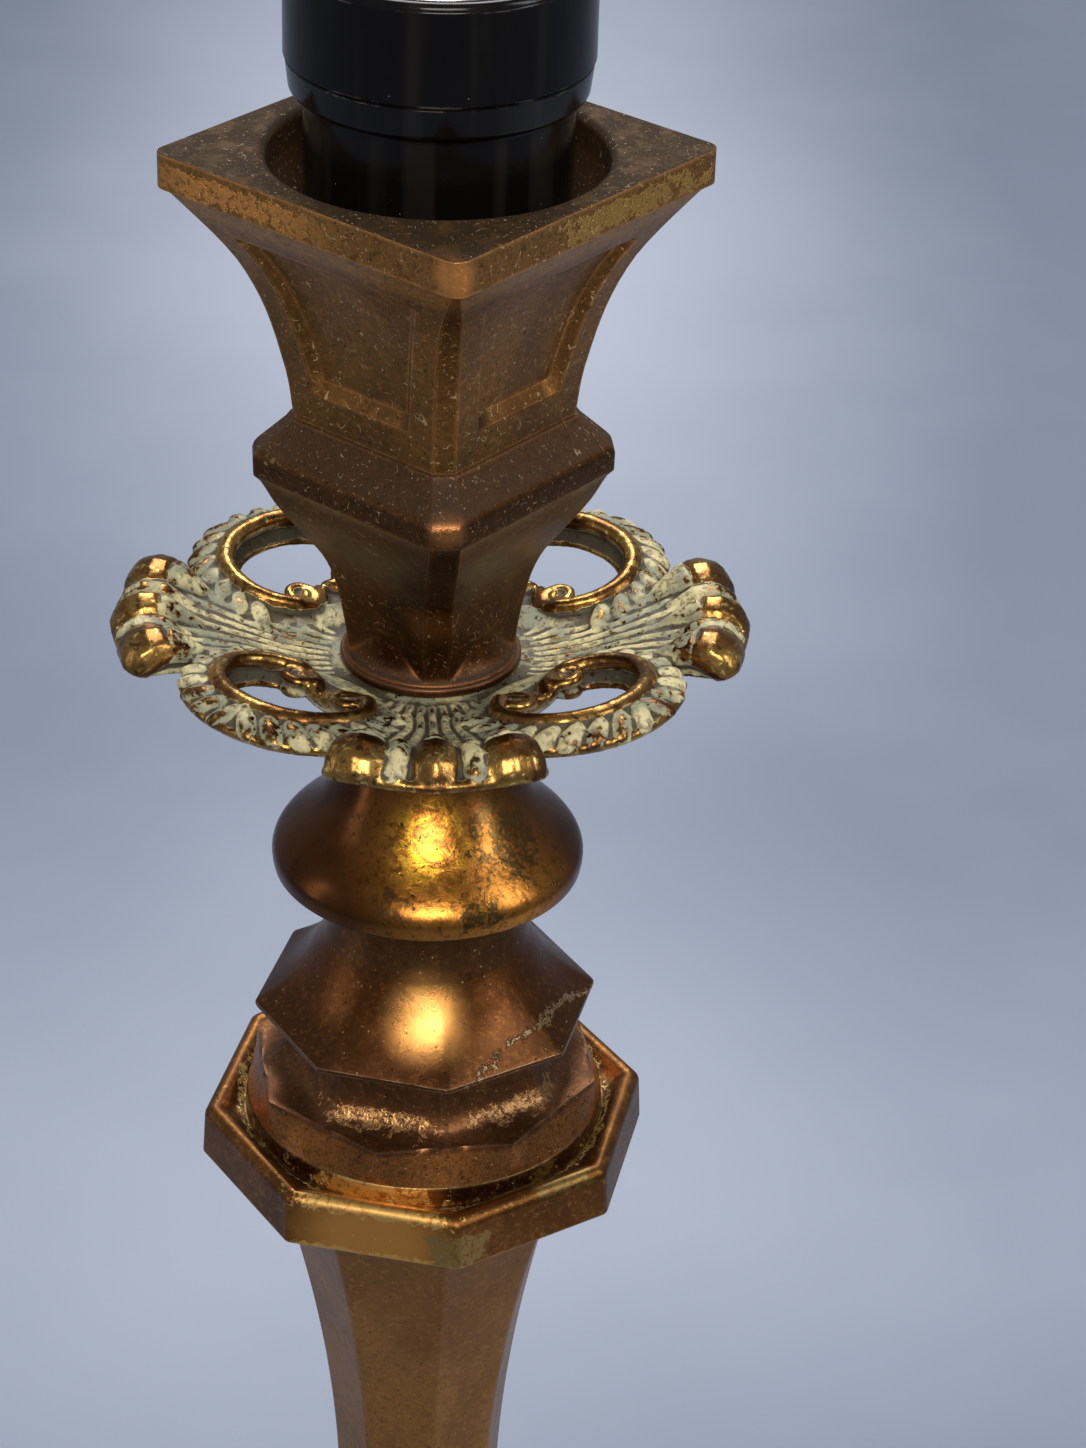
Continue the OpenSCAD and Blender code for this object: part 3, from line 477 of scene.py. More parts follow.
def soften_corners(bm, width, least_radius, segments=2):
    """Bevels the upright corner edges of a faceted turning, and leaves its bore alone."""
    edges = []
    for edge in bm.edges:
        a, b = (v.co for v in edge.verts)
        same_side = abs(math.atan2(a.y, a.x) - math.atan2(b.y, b.x)) < 0.01
        outside = min(math.hypot(a.x, a.y), math.hypot(b.x, b.y)) > least_radius
        if same_side and outside and edge.calc_face_angle(0) > math.radians(12):
            edges.append(edge)
    bmesh.ops.bevel(bm, geom=edges, offset=width, offset_type="OFFSET", segments=segments,
                    profile=0.5, affect="EDGES", material=-1, clamp_overlap=True)


def tidy_edges(piece, width):
    """A bevel modifier for level edges, and normals weighted by face, so that flats stay flat."""
    rounding = piece.modifiers.new("soft_edges", "BEVEL")
    rounding.width = width * MM
    rounding.segments = 2
    rounding.limit_method = "ANGLE"
    rounding.angle_limit = math.radians(30)
    rounding.harden_normals = False
    piece.modifiers.new("flat_faces", "WEIGHTED_NORMAL").keep_sharp = True


def finish_piece(bm, name, slot_name, nodes, edge=0.0, smooth_angle=40, body="lamp"):
    """Turns a bmesh in millimetres into a piece of the lamp, riding on its body."""
    bmesh.ops.scale(bm, vec=(MM, MM, MM), verts=bm.verts)
    mesh = to_mesh(bm, name)
    mesh.shade_smooth()
    mesh.set_sharp_from_angle(angle=math.radians(smooth_angle))
    piece = new_object(name, mesh)
    if edge:
        tidy_edges(piece, edge)
    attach(piece, body)
    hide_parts(*nodes)
    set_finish(piece, slot_name)
    top = max(v.co.z for v in mesh.vertices) / MM
    print(name, len(mesh.polygons), "faces, top", round(top, 1))
    return piece


# %% [markdown]
# ## Columns, rings and base
# The column is an octagon that swells to meet the flange, with eight long hollow-sided facets.
# Its lower length, the knop between two rings, the collar and the base are turned the same way.

# %% Columns
def octagon_piece(name, slot_name, outline, corner=0.5, bore=WASHER_BORE):
    """An octagonal turning from an outline that goes up its outside."""
    low, high = outline[0][1], outline[-1][1]
    bm = spin_outline(outline + [(bore, high), (bore, low)], 8)
    soften_corners(bm, corner, COLUMN_BORE + 2)
    finish_piece(bm, name, slot_name, [name], 0.25)


upper = [(22, COLUMN_LOW), (22, COLUMN_LOW + 2)]
upper += flare_down(21, COLUMN_LOW + 2, 18, COLUMN_LOW + 26, 2.2)
upper += flare(14.2, COLUMN_TOP - 82, 27.4, COLUMN_TOP, 2.0, 40)
octagon_piece("upper_column", "column_bronze", upper, corner=0.7)

low, high = span("lower_column")
lower = [(34, low), (34, low + 3)]
lower += flare_down(32, low + 3, 22, low + 60, 2.2)
lower += flare(18, high - 30, 22, high, 2.2, 10)
octagon_piece("lower_column", "column_bronze", lower, corner=0.7)

# %% Rings and knop
for name in ("lower_break_ring", "upper_break_ring"):
    low, high = span(name)
    ring = [(24, low)] + arc(24, low + 3, 3, 3, -90, 0)[1:] + arc(24, high - 3, 3, 3, 0, 90)
    octagon_piece(name, "flange_bronze", ring)

low, high = span("knop")
middle = (low + high) / 2
knop = [(20, low), (20, low + 2)]
knop += curve((19, low + 4), (20, low + 12), (30, middle - 12), (30, middle))
knop += curve((30, middle + 0.5), (30, middle + 12), (20, high - 12), (19, high - 4))
knop += [(20, high - 2), (20, high)]
octagon_piece("knop", "bell_bronze", knop)

# %% Base
low, high = span("base_collar")
collar = [(49.5, low)] + arc(49.5, low + 2.5, 2.5, 2.5, -90, 90)[1:]
collar += curve((48, low + 5), (44, low + 12), (42, high - 7), (36, high - 4))
collar += [(36, high)]
octagon_piece("base_collar", "flange_bronze", collar, bore=WIDE_BORE)

low, high = span("base_casting")
outside = [(140, low)] + arc(134, low + 15, 6, 6, 0, 90)
outside += [(108, low + 21)] + flare_down(108, low + 25, 54, high, 2.3, 20)
inside = [(WIDE_BORE, high), (WIDE_BORE, high - 17.5), (15.2, high - 17.5),
          (15.2, high - 5), (48, high - 5), (62, high - 12), (81.5, high - 18),
          (104, low + 21), (104, low + 17), (136, low + 17), (136, low)]
bm = spin_outline(outside + inside, 8)
soften_corners(bm, 0.8, 53)
finish_piece(bm, "base_casting", "base_bronze", ["base_casting"], 0.4)

# %% [markdown]
# ## Flange, collar and bell
# Under the knob the lamp goes from round to octagonal and back. The flange is an octagon with a
# bead round its edge and a valley inside it. The collar's foot is a band that changes from a
# circle to an octagon, and the bell changes from a round neck to an octagonal hem. Such a change
# is a loft: each level is one ring of 192 points, and only how far out each point lies changes.


# %% Rings that change shape
def octagon_reach(turn_by):
    """How far an octagon with corner radius 1 reaches at an angle."""
    def reach(angle):
        across = (angle - turn_by) % (math.pi / 4) - math.pi / 8
        return math.cos(math.pi / 8) / math.cos(across)
    return reach


def extrude_ring(bm, edges):
    """Extrudes a ring of edges. Returns the new ring's edges and corners."""
    out = bmesh.ops.extrude_edge_only(bm, edges=edges)["geom"]
    ring = {g for g in out if isinstance(g, bmesh.types.BMVert)}
    edges = [g for g in out if isinstance(g, bmesh.types.BMEdge) and ring.issuperset(g.verts)]
    return edges, ring


def stack_rings(levels, points):
    """A circle extruded up through levels of (height, reach), then closed down the bore."""
    def lay(verts, height, reach):
        for v in verts:
            angle = math.atan2(v.co.y, v.co.x)
            r = reach(angle)
            v.co = (r * math.cos(angle), r * math.sin(angle), height)

    bm = bmesh.new()
    circle = bmesh.ops.create_circle(bm, segments=points, radius=1.0)["verts"]
    first = edges = list({e for v in circle for e in v.link_edges})
    lay(circle, *levels[0])
    bore_wall = [(end[0], lambda angle: ROD_BORE) for end in (levels[-1], levels[0])]
    for height, reach in levels[1:] + bore_wall:
        edges, ring = extrude_ring(bm, edges)
        lay(ring, height, reach)
    bmesh.ops.bridge_loops(bm, edges=edges + first)
    bmesh.ops.recalc_face_normals(bm, faces=bm.faces)
    return bm


# %% Flange
low, seat = span("octagon_flange")
flange = [(37.4, COLUMN_TOP)] + arc(35.1, COLUMN_TOP + 7.2, 1.9, 1.9, 0, 90, 8)
flange += raised(curve((34.7, -1.55), (33.4, -1.9), (32.8, -3.3), (31.0, -3.5), 8), seat)
flange += [(29.0, seat - 3.6), (WIDE_BORE, seat - 3.6), (WIDE_BORE, COLUMN_TOP)]
bm = spin_outline(flange, 8)
soften_corners(bm, 0.7, 30, 3)
round_seat = [(8.2, low), (8.2, COLUMN_TOP + 1), (28, COLUMN_TOP + 1)]
round_seat += raised([(28.5, -4.2), (29.9, -3.4), (29.6, -0.5), (29.3, 0), (ROD_BORE, 0)], seat)
join(bm, spin_outline(round_seat + [(ROD_BORE, low)], 96))
finish_piece(bm, "octagon_flange", "flange_bronze", ["octagon_flange"], 0.15)

# %% Collar
band_top = COLLAR_LOW + 6.0


def mixed_reach(radius, corner, share, turn_by):
    """Between a circle and an octagon: share 0 is round and share 1 is eight-sided."""
    eight = octagon_reach(turn_by)
    return lambda angle: radius * (1 - share) + corner * eight(angle) * share


def two_octagons(first, second, share):
    """Between two octagons, each given as (corner radius, turn)."""
    a, b = octagon_reach(first[1]), octagon_reach(second[1])
    return lambda angle: first[0] * a(angle) * (1 - share) + second[0] * b(angle) * share


FOOT_EDGE = (29.2, BELL_TURN + math.pi / 8)
levels = []
for i in range(7):
    share = i / 6
    levels.append((COLLAR_LOW + 6.0 * share, mixed_reach(29.4, FOOT_EDGE[0], share, FOOT_EDGE[1])))
for r, z in arc(27.6, COLLAR_TOP - 2.2, 5.4, COLLAR_TOP - 2.35 - band_top, -90, -180, 22):
    swept = (27.6 - r) / 5.4
    share = 0.8 * max(0.0, 1.0 - swept / 0.5) ** 1.5
    levels.append((z, two_octagons((r, BELL_TURN), FOOT_EDGE, share)))
levels.append((COLLAR_TOP, two_octagons((22.2, BELL_TURN), FOOT_EDGE, 0.0)))
bm = stack_rings(levels, 192)
finish_piece(bm, "hollow_collar", "collar_bronze", ["hollow_collar"], 0.0, 28)

# %% Bell
HEM_R, WAIST_R = 28.2, 18.5
side = [(27.8, 0), (HEM_R, 0.3), (HEM_R, 0.95), (27.8, 1.3)]
side += curve((27.4, 1.6), (22.4, 5.2), (19.5, 7.4), (16.8, 13.6), 24)
side += curve((16.7, 13.9), (15.3, 17.9), (14.5, 21.2), (14.5, BELL_TOP - 4 - BELL_LOW), 10)
levels = []
for r, z in raised(side, BELL_LOW) + [(14.5, BELL_TOP)]:
    share = max(0.0, (r - WAIST_R) / (HEM_R - WAIST_R)) ** 1.2
    levels.append((z, mixed_reach(r * (1 - 0.04 * share), r, min(1.0, share), BELL_TURN)))
bm = stack_rings(levels, 192)
finish_piece(bm, "octagon_bell", "bell_bronze", ["octagon_bell"], 0.0, 32)

# %% [markdown]
# ## Knob
# The knob is a plain round turning: a domed skirt that comes to a sharp lower rim, under a
# narrow neck that carries the disc. It is turned with 160 steps, because it mirrors the light.

# %% Knob
knob = [(24.4, 0), (24.85, 0.2), (25.0, 1.0)]
knob += curve((25.1, 2.0), (25.2, 5.6), (20.4, 7.6), (17.2, 12.0), 18)
knob += curve((17.0, 12.3), (14.6, 15.9), (12.0, 20.0), (12.0, 25.0), 12)
neck = [(12.0, KNOB_TOP), (ROD_BORE, KNOB_TOP), (ROD_BORE, KNOB_LOW)]
bm = spin_outline(raised(knob, KNOB_LOW) + neck, 160)
finish_piece(bm, "round_knob", "lacquered_brass", ["round_knob"], 0.15, 50)

# %% Ring at the stem's foot
ring = [(13, RING_LOW), (13.8, RING_LOW)]
ring += arc(13.8, (RING_LOW + RING_TOP) / 2, 0.4, 0.75, -90, 90)
ring += [(13, RING_TOP), (ROD_BORE, RING_TOP), (ROD_BORE, RING_LOW)]
finish_piece(spin_outline(ring, 128), "stem_foot_ring", "copper_ring", ["stem_foot_ring"])

# %% [markdown]
# ## Stem
# The stem is square with its corners cut flat. Each level is a ring of eight points, two for each
# corner, and the rings are extruded one from another, so the cut can be as wide as each level
# needs. The middle flange, a plain band with a sloping top, belongs to the same casting.


# %% Square castings with cut corners
def stack_squares(levels, turn_by):
    """Eight-point rings extruded through levels of (height, corner radius, cut)."""
    def lay(verts, height, corner, cut):
        order = sorted(verts, key=lambda v: (math.atan2(v.co.y, v.co.x) - turn_by) % math.tau)
        for i, v in enumerate(order):
            facing = turn_by + math.radians(45 + 90 * (i // 2))
            side = 1 if i % 2 else -1
            out, along = corner - cut, side * cut
            v.co = (out * math.cos(facing) - along * math.sin(facing),
                    out * math.sin(facing) + along * math.cos(facing), height)

    bm = bmesh.new()
    first_turn = Matrix.Rotation(turn_by + math.pi / 8, 4, "Z")
    circle = bmesh.ops.create_circle(bm, segments=8, radius=1.0, matrix=first_turn)["verts"]
    edges = list({e for v in circle for e in v.link_edges})
    bmesh.ops.contextual_create(bm, geom=edges)
    lay(circle, *levels[0])
    for level in levels[1:]:
        edges, ring = extrude_ring(bm, edges)
        lay(ring, *level)
    bmesh.ops.contextual_create(bm, geom=edges)
    bmesh.ops.recalc_face_normals(bm, faces=bm.faces)
    return bm


def shape_of(held):
    """The mesh that an object's modifiers or curves make. The object itself is removed."""
    done = held.evaluated_get(bpy.context.evaluated_depsgraph_get())
    shape = bpy.data.meshes.new_from_object(done)
    bpy.data.objects.remove(held)
    return shape


def evaluated(bm, set_up):
    """Runs modifiers on a bmesh and returns the result as a new bmesh."""
    mesh = to_mesh(bm, "blank")
    blank = new_object("blank", mesh)
    set_up(blank)
    shape = shape_of(blank)
    made = bmesh.new()
    made.from_mesh(shape)
    for used in (mesh, shape):
        bpy.data.meshes.remove(used)
    return made


def carve(bm, outline, steps=128):
    """Cuts a turned hollow out of a casting, as a lathe would bore it."""
    cutter_mesh = to_mesh(spin_outline(outline, steps), "cutter")
    cutter = new_object("cutter", cutter_mesh)

    def bore_it(blank):
        tool = blank.modifiers.new("bore", "BOOLEAN")
        tool.operation = "DIFFERENCE"
        tool.solver = "EXACT"
        tool.object = cutter

    made = evaluated(bm, bore_it)
    bpy.data.objects.remove(cutter)
    bpy.data.meshes.remove(cutter_mesh)
    return made


def rod_hole(low, high):
    """The outline of the rod's hole between two levels."""
    return [(0, low), (ROD_BORE, low), (ROD_BORE, high), (0, high)]


# %% Stem
def follow(points, at):
    """A smooth curve through (height, value) points, read at one height."""
    k = max(i for i in range(len(points) - 1) if i == 0 or points[i][0] <= at)

    def slope(i):
        i = min(max(i, 1), len(points) - 2)
        return (points[i + 1][1] - points[i - 1][1]) / (points[i + 1][0] - points[i - 1][0])

    (z0, v0), (z1, v1) = points[k], points[k + 1]
    span_z = z1 - z0
    t = (at - z0) / span_z
    return ((2 * t ** 3 - 3 * t ** 2 + 1) * v0 + (t ** 3 - 2 * t ** 2 + t) * span_z * slope(k)
            + (3 * t ** 2 - 2 * t ** 3) * v1 + (t ** 3 - t ** 2) * span_z * slope(k + 1))


BAND_LOW = STEM_TOP - 10.1
BAND_R = 29.6
TAPER = BAND_LOW - STEM_LOW
STEM_SHAPE = [(0, 14.85), (4, 15.3), (8.5, 16.1), (13.8, 17.4), (17.6, 19.2), (21.3, 22.2),
              (26.3, 26.2), (TAPER, 28.6)]
levels = []
for i in range(25):
    rise = TAPER * i / 24
    levels.append((STEM_LOW + rise, follow(STEM_SHAPE, rise), 1.95 + 0.2 * i / 24))
for rise, corner, cut in ((0.9, BAND_R, 2.15), (3.8, BAND_R, 2.1), (4.7, 29.25, 2.08),
                          (5.4, 28.6, 2.05), (9.1, 24.1, 1.75), (10.1, 23.3, 1.7)):
    levels.append((BAND_LOW + rise, corner, cut))
bm = carve(stack_squares(levels, CUP_TURN), rod_hole(STEM_LOW - 1, STEM_TOP + 1), 32)
toe = [(ROD_BORE, 0), (13.7, 0), (13.65, 0.3)]
toe += curve((13.4, 0.6), (12.4, 1.1), (11.5, 2.6), (10.9, 7), 10) + [(ROD_BORE, 7)]
join(bm, spin_outline(raised(toe, STEM_LOW), 96))
finish_piece(bm, "stem_casting", "stem_bronze", ["stem_casting"], 0.7)

# %% [markdown]
# ## Cup
# One side of the cup is a grid whose rows follow the flare and whose columns follow the margins
# of the sunk panel. The panel's own points are pushed in, so its bevelled walls come from the
# grid. Three turned copies complete the square, and the round mouth is bored through it, as the
# founder's pattern had a turned core.

# %% Cup side
CUP_SHAPE = [(-42.5, 22.85), (-36, 23.75), (-32, 24.75), (-28, 25.85), (-24, 27.2), (-20.1, 28.95),
             (-16.2, 31.2), (-12.3, 34.3), (-8.4, 37.75), (-5.3, 40.6)]
CORNER_CUTS = [(-42.5, 1.65), (-24, 1.65), (-14, 1.4), (-9, 0.9), (-5.3, 0.55)]
MARGIN = 7.2
PANEL_DEPTH = 1.7
PANEL_ROWS = (4, 15)
ROWS = [-42.5, -40.6, -38.6, -36.9, -34.5, -32.5, -30.5, -28.5, -26.5, -24.5, -22.5, -20.5, -18.5,
        -16.5, -14.3, -12.5, -11.6, -10.2, -8.8, -7.2, -5.3]


def cup_columns(z):
    """The distance of a face from the axis, and where the columns lie across it."""
    face = follow(CUP_SHAPE, z) / math.sqrt(2)
    edge, panel = face - follow(CORNER_CUTS, z) * math.sqrt(2), face - MARGIN
    floor_edge = panel - PANEL_DEPTH
    inner = [floor_edge * (-1 + 2 * i / 8) for i in range(9)]
    return face, [-edge, -panel] + inner + [panel, edge]


COLUMNS = 13
bm = bmesh.new()
grid = bmesh.ops.create_grid(bm, x_segments=COLUMNS, y_segments=len(ROWS) - 1, size=1.0)["verts"]
by_place = sorted(grid, key=lambda v: (round(v.co.y, 5), round(v.co.x, 5)))
for i, v in enumerate(by_place):
    row, column = divmod(i, COLUMNS + 1)
    z = CUP_TOP + ROWS[row]
    face, across = cup_columns(ROWS[row])
    if column == COLUMNS:
        v.co = Matrix.Rotation(math.pi / 2, 3, "Z") @ Vector((face, across[0], z))
    else:
        in_panel = PANEL_ROWS[0] <= row <= PANEL_ROWS[1] and 2 <= column <= 10
        v.co = (face - (PANEL_DEPTH if in_panel else 0.0), across[column], z)
everything = bm.verts[:] + bm.edges[:] + bm.faces[:]
bmesh.ops.spin(bm, geom=everything, cent=(0, 0, 0), axis=(0, 0, 1), angle=math.tau * 3 / 4,
               steps=3, use_duplicate=True)
bmesh.ops.remove_doubles(bm, verts=bm.verts, dist=1e-3)
bmesh.ops.holes_fill(bm, edges=bm.edges)
bmesh.ops.rotate(bm, matrix=Matrix.Rotation(CUP_TURN, 3, "Z"), verts=bm.verts)
bmesh.ops.recalc_face_normals(bm, faces=bm.faces)

# %% Cup mouth and plate
MOUTH_R, PLATE_CORNER, PLATE_DEEP = 25.2, 41.7, 5.5
floor_level = CUP_LOW - CUP_TOP + 6.5
mouth = [(0, floor_level), (12, floor_level), (12.4, -30)]
mouth += curve((12.6, -28), (14.0, -18), (MOUTH_R, -12), (MOUTH_R, -4.5), 14)
mouth += [(MOUTH_R, -1.4)] + arc(MOUTH_R + 1.4, -1.4, 1.4, 1.4, 180, 90, 5)
mouth = raised(mouth + [(MOUTH_R + 1.4, 2), (0, 2)], CUP_TOP)
bm = carve(carve(bm, mouth), rod_hole(CUP_LOW - 1, CUP_LOW + 8), 32)
plate = bmesh.new()
bmesh.ops.create_cube(plate, size=1.0)
side = PLATE_CORNER * math.sqrt(2)
bmesh.ops.scale(plate, vec=(side, side, PLATE_DEEP), verts=plate.verts)
upright = [e for e in plate.edges if abs(e.verts[0].co.z - e.verts[1].co.z) > 1]
bmesh.ops.bevel(plate, geom=upright, offset=2.2, segments=4, profile=0.5, affect="EDGES",
                material=-1)
in_place = Matrix.Translation((0, 0, CUP_TOP - PLATE_DEEP / 2)) @ Matrix.Rotation(CUP_TURN, 4, "Z")
bmesh.ops.transform(plate, verts=plate.verts, matrix=in_place)
join(bm, carve(plate, mouth))
finish_piece(bm, "cup_casting", "cup_bronze", ["cup_casting"], 0.4, 34)

# %% [markdown]
# ## Lampholder
# A black screw lampholder stands in the cup: a cap with a rounded shoulder, and a skirt that
# screws down on it at a fine seam. In its mouth is the thin rolled screw shell. Its thread is one
# wavy line spun up round the axis: spin lifts the line by one pitch in a turn, so each turn runs
# into the next, and two cuts leave its ends level.

# %% Cap and skirt
seam, skirt_top = span("lampholder_skirt")
skirt = [(19.9, seam), (22.2, seam), (22.6, seam + 0.35), (22.6, skirt_top - 1.3)]
skirt += arc(21.3, skirt_top - 1.2, 1.2, 1.2, 0, 90, 8)
skirt += arc(21.0, skirt_top - 1.1, 1.1, 1.1, 90, 180, 8)
finish_piece(spin_outline(skirt, 160), "lampholder_skirt", "black_plastic", ["lampholder_skirt"])

cap_low, cap_high = span("lampholder_cap")
cap = [(5.05, cap_low), (8.5, cap_low), (8.5, cap_low + 5)]
cap += curve((9.0, cap_low + 5.4), (15.5, cap_low + 9), (19.8, CUP_TOP - 13.5),
             (19.8, CUP_TOP - 6.5), 14)
cap += [(19.8, seam - 6.6)]
cap += raised(curve((19.8, -6.2), (19.8, -5.5), (20.0, -5.3), (20.7, -5.2), 4), seam)
cap += arc(20.9, seam - 4.2, 1.0, 1.0, -80, 0, 6)
cap += [(22.35, seam - 0.35), (22.0, seam), (19.85, seam), (19.85, cap_high), (18.2, cap_high)]
cap += [(18.2, CUP_TOP - 4.5), (16.2, CUP_TOP - 4.5)]
cap += curve((16.2, CUP_TOP - 5.5), (15.7, CUP_TOP - 11.5), (12.5, cap_low + 10),
             (7.5, cap_low + 7), 8)
cap += [(5.05, cap_low + 7)]
finish_piece(spin_outline(cap, 160), "lampholder_cap", "black_plastic", ["lampholder_cap"])

# %% Screw shell
PITCH = 3.62
THREAD_R, THREAD_DEEP = 14.2, 0.38
STEPS_UP, STEPS_ROUND = 12, 72
shell_low, shell_high = span("screw_shell")
thread_low, thread_high = shell_low + 6.2, shell_high - 0.9
bm = bmesh.new()
wave = []
for i in range(int((thread_high - thread_low + 2 * PITCH) / PITCH * STEPS_UP) + 1):
    r = THREAD_R + THREAD_DEEP * math.cos(math.tau * i / STEPS_UP)
    wave.append(bm.verts.new((r, 0, thread_low - PITCH + i * PITCH / STEPS_UP)))
line = [bm.edges.new(pair) for pair in zip(wave, wave[1:])]
bmesh.ops.spin(bm, geom=wave + line, cent=(0, 0, 0), axis=(0, 0, 1), angle=math.tau,
               steps=STEPS_ROUND, dvec=(0, 0, PITCH / STEPS_ROUND))
bmesh.ops.remove_doubles(bm, verts=bm.verts, dist=1e-3)
for cut, outwards in ((thread_low, -1), (thread_high, 1)):
    everything = bm.verts[:] + bm.edges[:] + bm.faces[:]
    bmesh.ops.bisect_plane(bm, geom=everything, plane_co=(0, 0, cut), plane_no=(0, 0, outwards),
                           clear_outer=True)
bmesh.ops.recalc_face_normals(bm, faces=bm.faces)
bmesh.ops.solidify(bm, geom=bm.faces[:], thickness=0.4)
foot = [(7, 0), (13.1, 0), (13.1, 5), (14.3, 5.6), (14.5, 6.4), (14.0, 6.4), (13.8, 5.9),
        (12.6, 5.4), (12.6, 0.5), (7, 0.5)]
lip = [(13.9, -1.2), (14.4, -1.2), (14.6, -0.6), (15.0, -0.3), (14.9, 0), (14.4, -0.15),
       (14.0, -0.6)]
join(bm, spin_outline(raised(foot, shell_low), 96))
join(bm, spin_outline(raised(lip, shell_high), 96))
finish_piece(bm, "screw_shell", "aluminium_shell", ["screw_shell"], 0.0, 50)

# %% [markdown]
# ## Contact spring
# The spring stands between the lampholder's insulator and the head of the centre contact. When a
# lamp presses the contact down, the spring shortens by the same travel while its foot stays. Here
# it is only copied from its CAD node into a piece with a mesh of its own.

# %% Spring copied from its CAD node
low, high = span("contact_spring")
bm = bmesh.new()
bm.from_mesh(frame["nodes"]["contact_spring"].data)
bmesh.ops.scale(bm, vec=(1 / MM, 1 / MM, 1 / MM), verts=bm.verts)
spring = finish_piece(bm, "contact_spring", "spring_steel", ["contact_spring"])
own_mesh(spring)


# %% [markdown]
# ## Pierced disc
# The disc is one casting made of many rounded forms: a dished web, ribs that fan out to four
# shells, open loops edged with a smooth wire, scrolls, and leaves round the loops. Each form is
# laid down alone, as a pattern maker lays wax on a board: wires are curves with a round section,
# bulbs are stretched balls. A voxel remesh then melts them into one skin, as the casting did.

# %% Dish and wires
LOBES = 4
LOOP_R = 29.8
LOOP_DEEP = 10.4
LOOP_WIDE = 12.7
DISH = [(0, 3.3), (18, 3.4), (24, 4.6), (35, 7.6), (52, 11.2)]


def straight_lines(points, at, base=0.0):
    """A value above a base, read from straight lines between (place, value) points."""
    for (a, value_a), (b, value_b) in zip(points, points[1:]):
        if at <= b:
            return base + value_a + (value_b - value_a) * (at - a) / (b - a)
    return base + points[-1][1]


def dish(r):
    """Level of the disc's upper face at a radius."""
    return straight_lines(DISH, r, DISC_LOW)


def on_disc(r, degrees, lift=0.0):
    """A point of the disc from its radius and bearing."""
    t = math.radians(degrees)
    return Vector((r * math.cos(t), r * math.sin(t), dish(r) + lift))


def from_plan(x, y, lift=0.0):
    """A point of the disc from its plan position."""
    return Vector((x, y, dish(math.hypot(x, y)) + lift))


PAINTED, GILT = 0, 1
wires = {PAINTED: [], GILT: []}


def lay_wire(points, radii, ring=False, skin=PAINTED):
    """Notes a round wire for the pattern, with its radius at each point."""
    if isinstance(radii, (int, float)):
        radii = [radii] * len(points)
    wires[skin].append((points, radii, ring))


def melt_wires(bm, skin):
    """Turns the noted wires of one skin into tubes and adds them to the pattern."""
    data = bpy.data.curves.new("wires", "CURVE")
    data.dimensions = "3D"
    data.bevel_depth = 1.0
    data.bevel_resolution = 2
    data.use_fill_caps = True
    for points, radii, ring in wires[skin]:
        line = data.splines.new("POLY")
        line.points.add(len(points) - 1)
        line.use_cyclic_u = ring
        for spot, point, radius in zip(line.points, points, radii):
            spot.co = (*point, 1.0)
            spot.radius = radius
    tubes = shape_of(new_object("wires", data))
    tubes.polygons.foreach_set("material_index", [skin] * len(tubes.polygons))
    bm.from_mesh(tubes)
    bpy.data.meshes.remove(tubes)
    print(len(wires[skin]), "wires")


def lay_bulb(bm, place, bearing, sizes, lean=0.0, skin=PAINTED):
    """A stretched ball: sizes are its half lengths out, across and up."""
    ball = bmesh.ops.create_icosphere(bm, subdivisions=3, radius=1.0)["verts"]
    for face in {f for v in ball for f in v.link_faces}:
        face.material_index = skin
    turned = Matrix.Translation(place) @ (turn(bearing) @ turn(lean, "Y"))
    bmesh.ops.transform(bm, verts=ball, matrix=turned @ Matrix.Diagonal((*sizes, 1.0)))


# %% Hub and web
hub = [(ROD_BORE, 0), (20.0, 0), (21.6, 0.7), (22.2, 2.4), (20.5, 3.1), (17.4, 3.4),
       (ROD_BORE, 3.4)]
pattern = spin_outline(raised(hub, DISC_LOW), 96)
WEB_WIDTHS = [(16, 6.5), (24, 6.0), (29, 6.6), (35, 9.5), (40, 12.5), (44, 15.0), (48, 16.5)]


def lobe_half_width(r):
    """Half the width of the web between two loops."""
    return straight_lines(WEB_WIDTHS, r)


for k in range(LOBES):
    web = bmesh.new()
    verts = bmesh.ops.create_grid(web, x_segments=20, y_segments=12, size=1.0)["verts"]
    for v in verts:
        r = 30.4 + 14.0 * v.co.x
        across = v.co.y * lobe_half_width(r)
        v.co = (r, across, dish(math.hypot(r, across)) - 0.5)
    bmesh.ops.solidify(web, geom=web.faces[:], thickness=2.1)
    bmesh.ops.rotate(web, matrix=turn(45 + 90 * k).to_3x3(), verts=web.verts)
    join(pattern, web)

# %% Flutes round the hub
FLUTES = 64
FLUTE = [(16.2, -0.1), (18.5, 0.25), (21.4, 0.2)]
for i in range(FLUTES):
    lay_wire([on_disc(r, 360 * i / FLUTES, lift) for r, lift in FLUTE], [0.36, 0.46, 0.5])

# %% Ribs and shells
RIBS_END = 42.0
# Each point of a finger is its radius on the disc, its lift and its thickness.
FINGER = [(35.0, 0.3, 0.9), (37.5, 1.0, 1.5), (40.0, 1.8, 2.2), (42.4, 2.2, 2.8),
          (44.4, 1.7, 3.2), (46.0, 0.6, 3.3), (47.0, -0.8, 3.0), (47.6, -2.0, 2.4)]
GROOVE = [(38.0, 0.5, 1.2), (42.0, 1.9, 1.9), (45.0, 1.3, 2.2), (47.0, -0.4, 2.1),
          (47.8, -2.0, 1.6)]


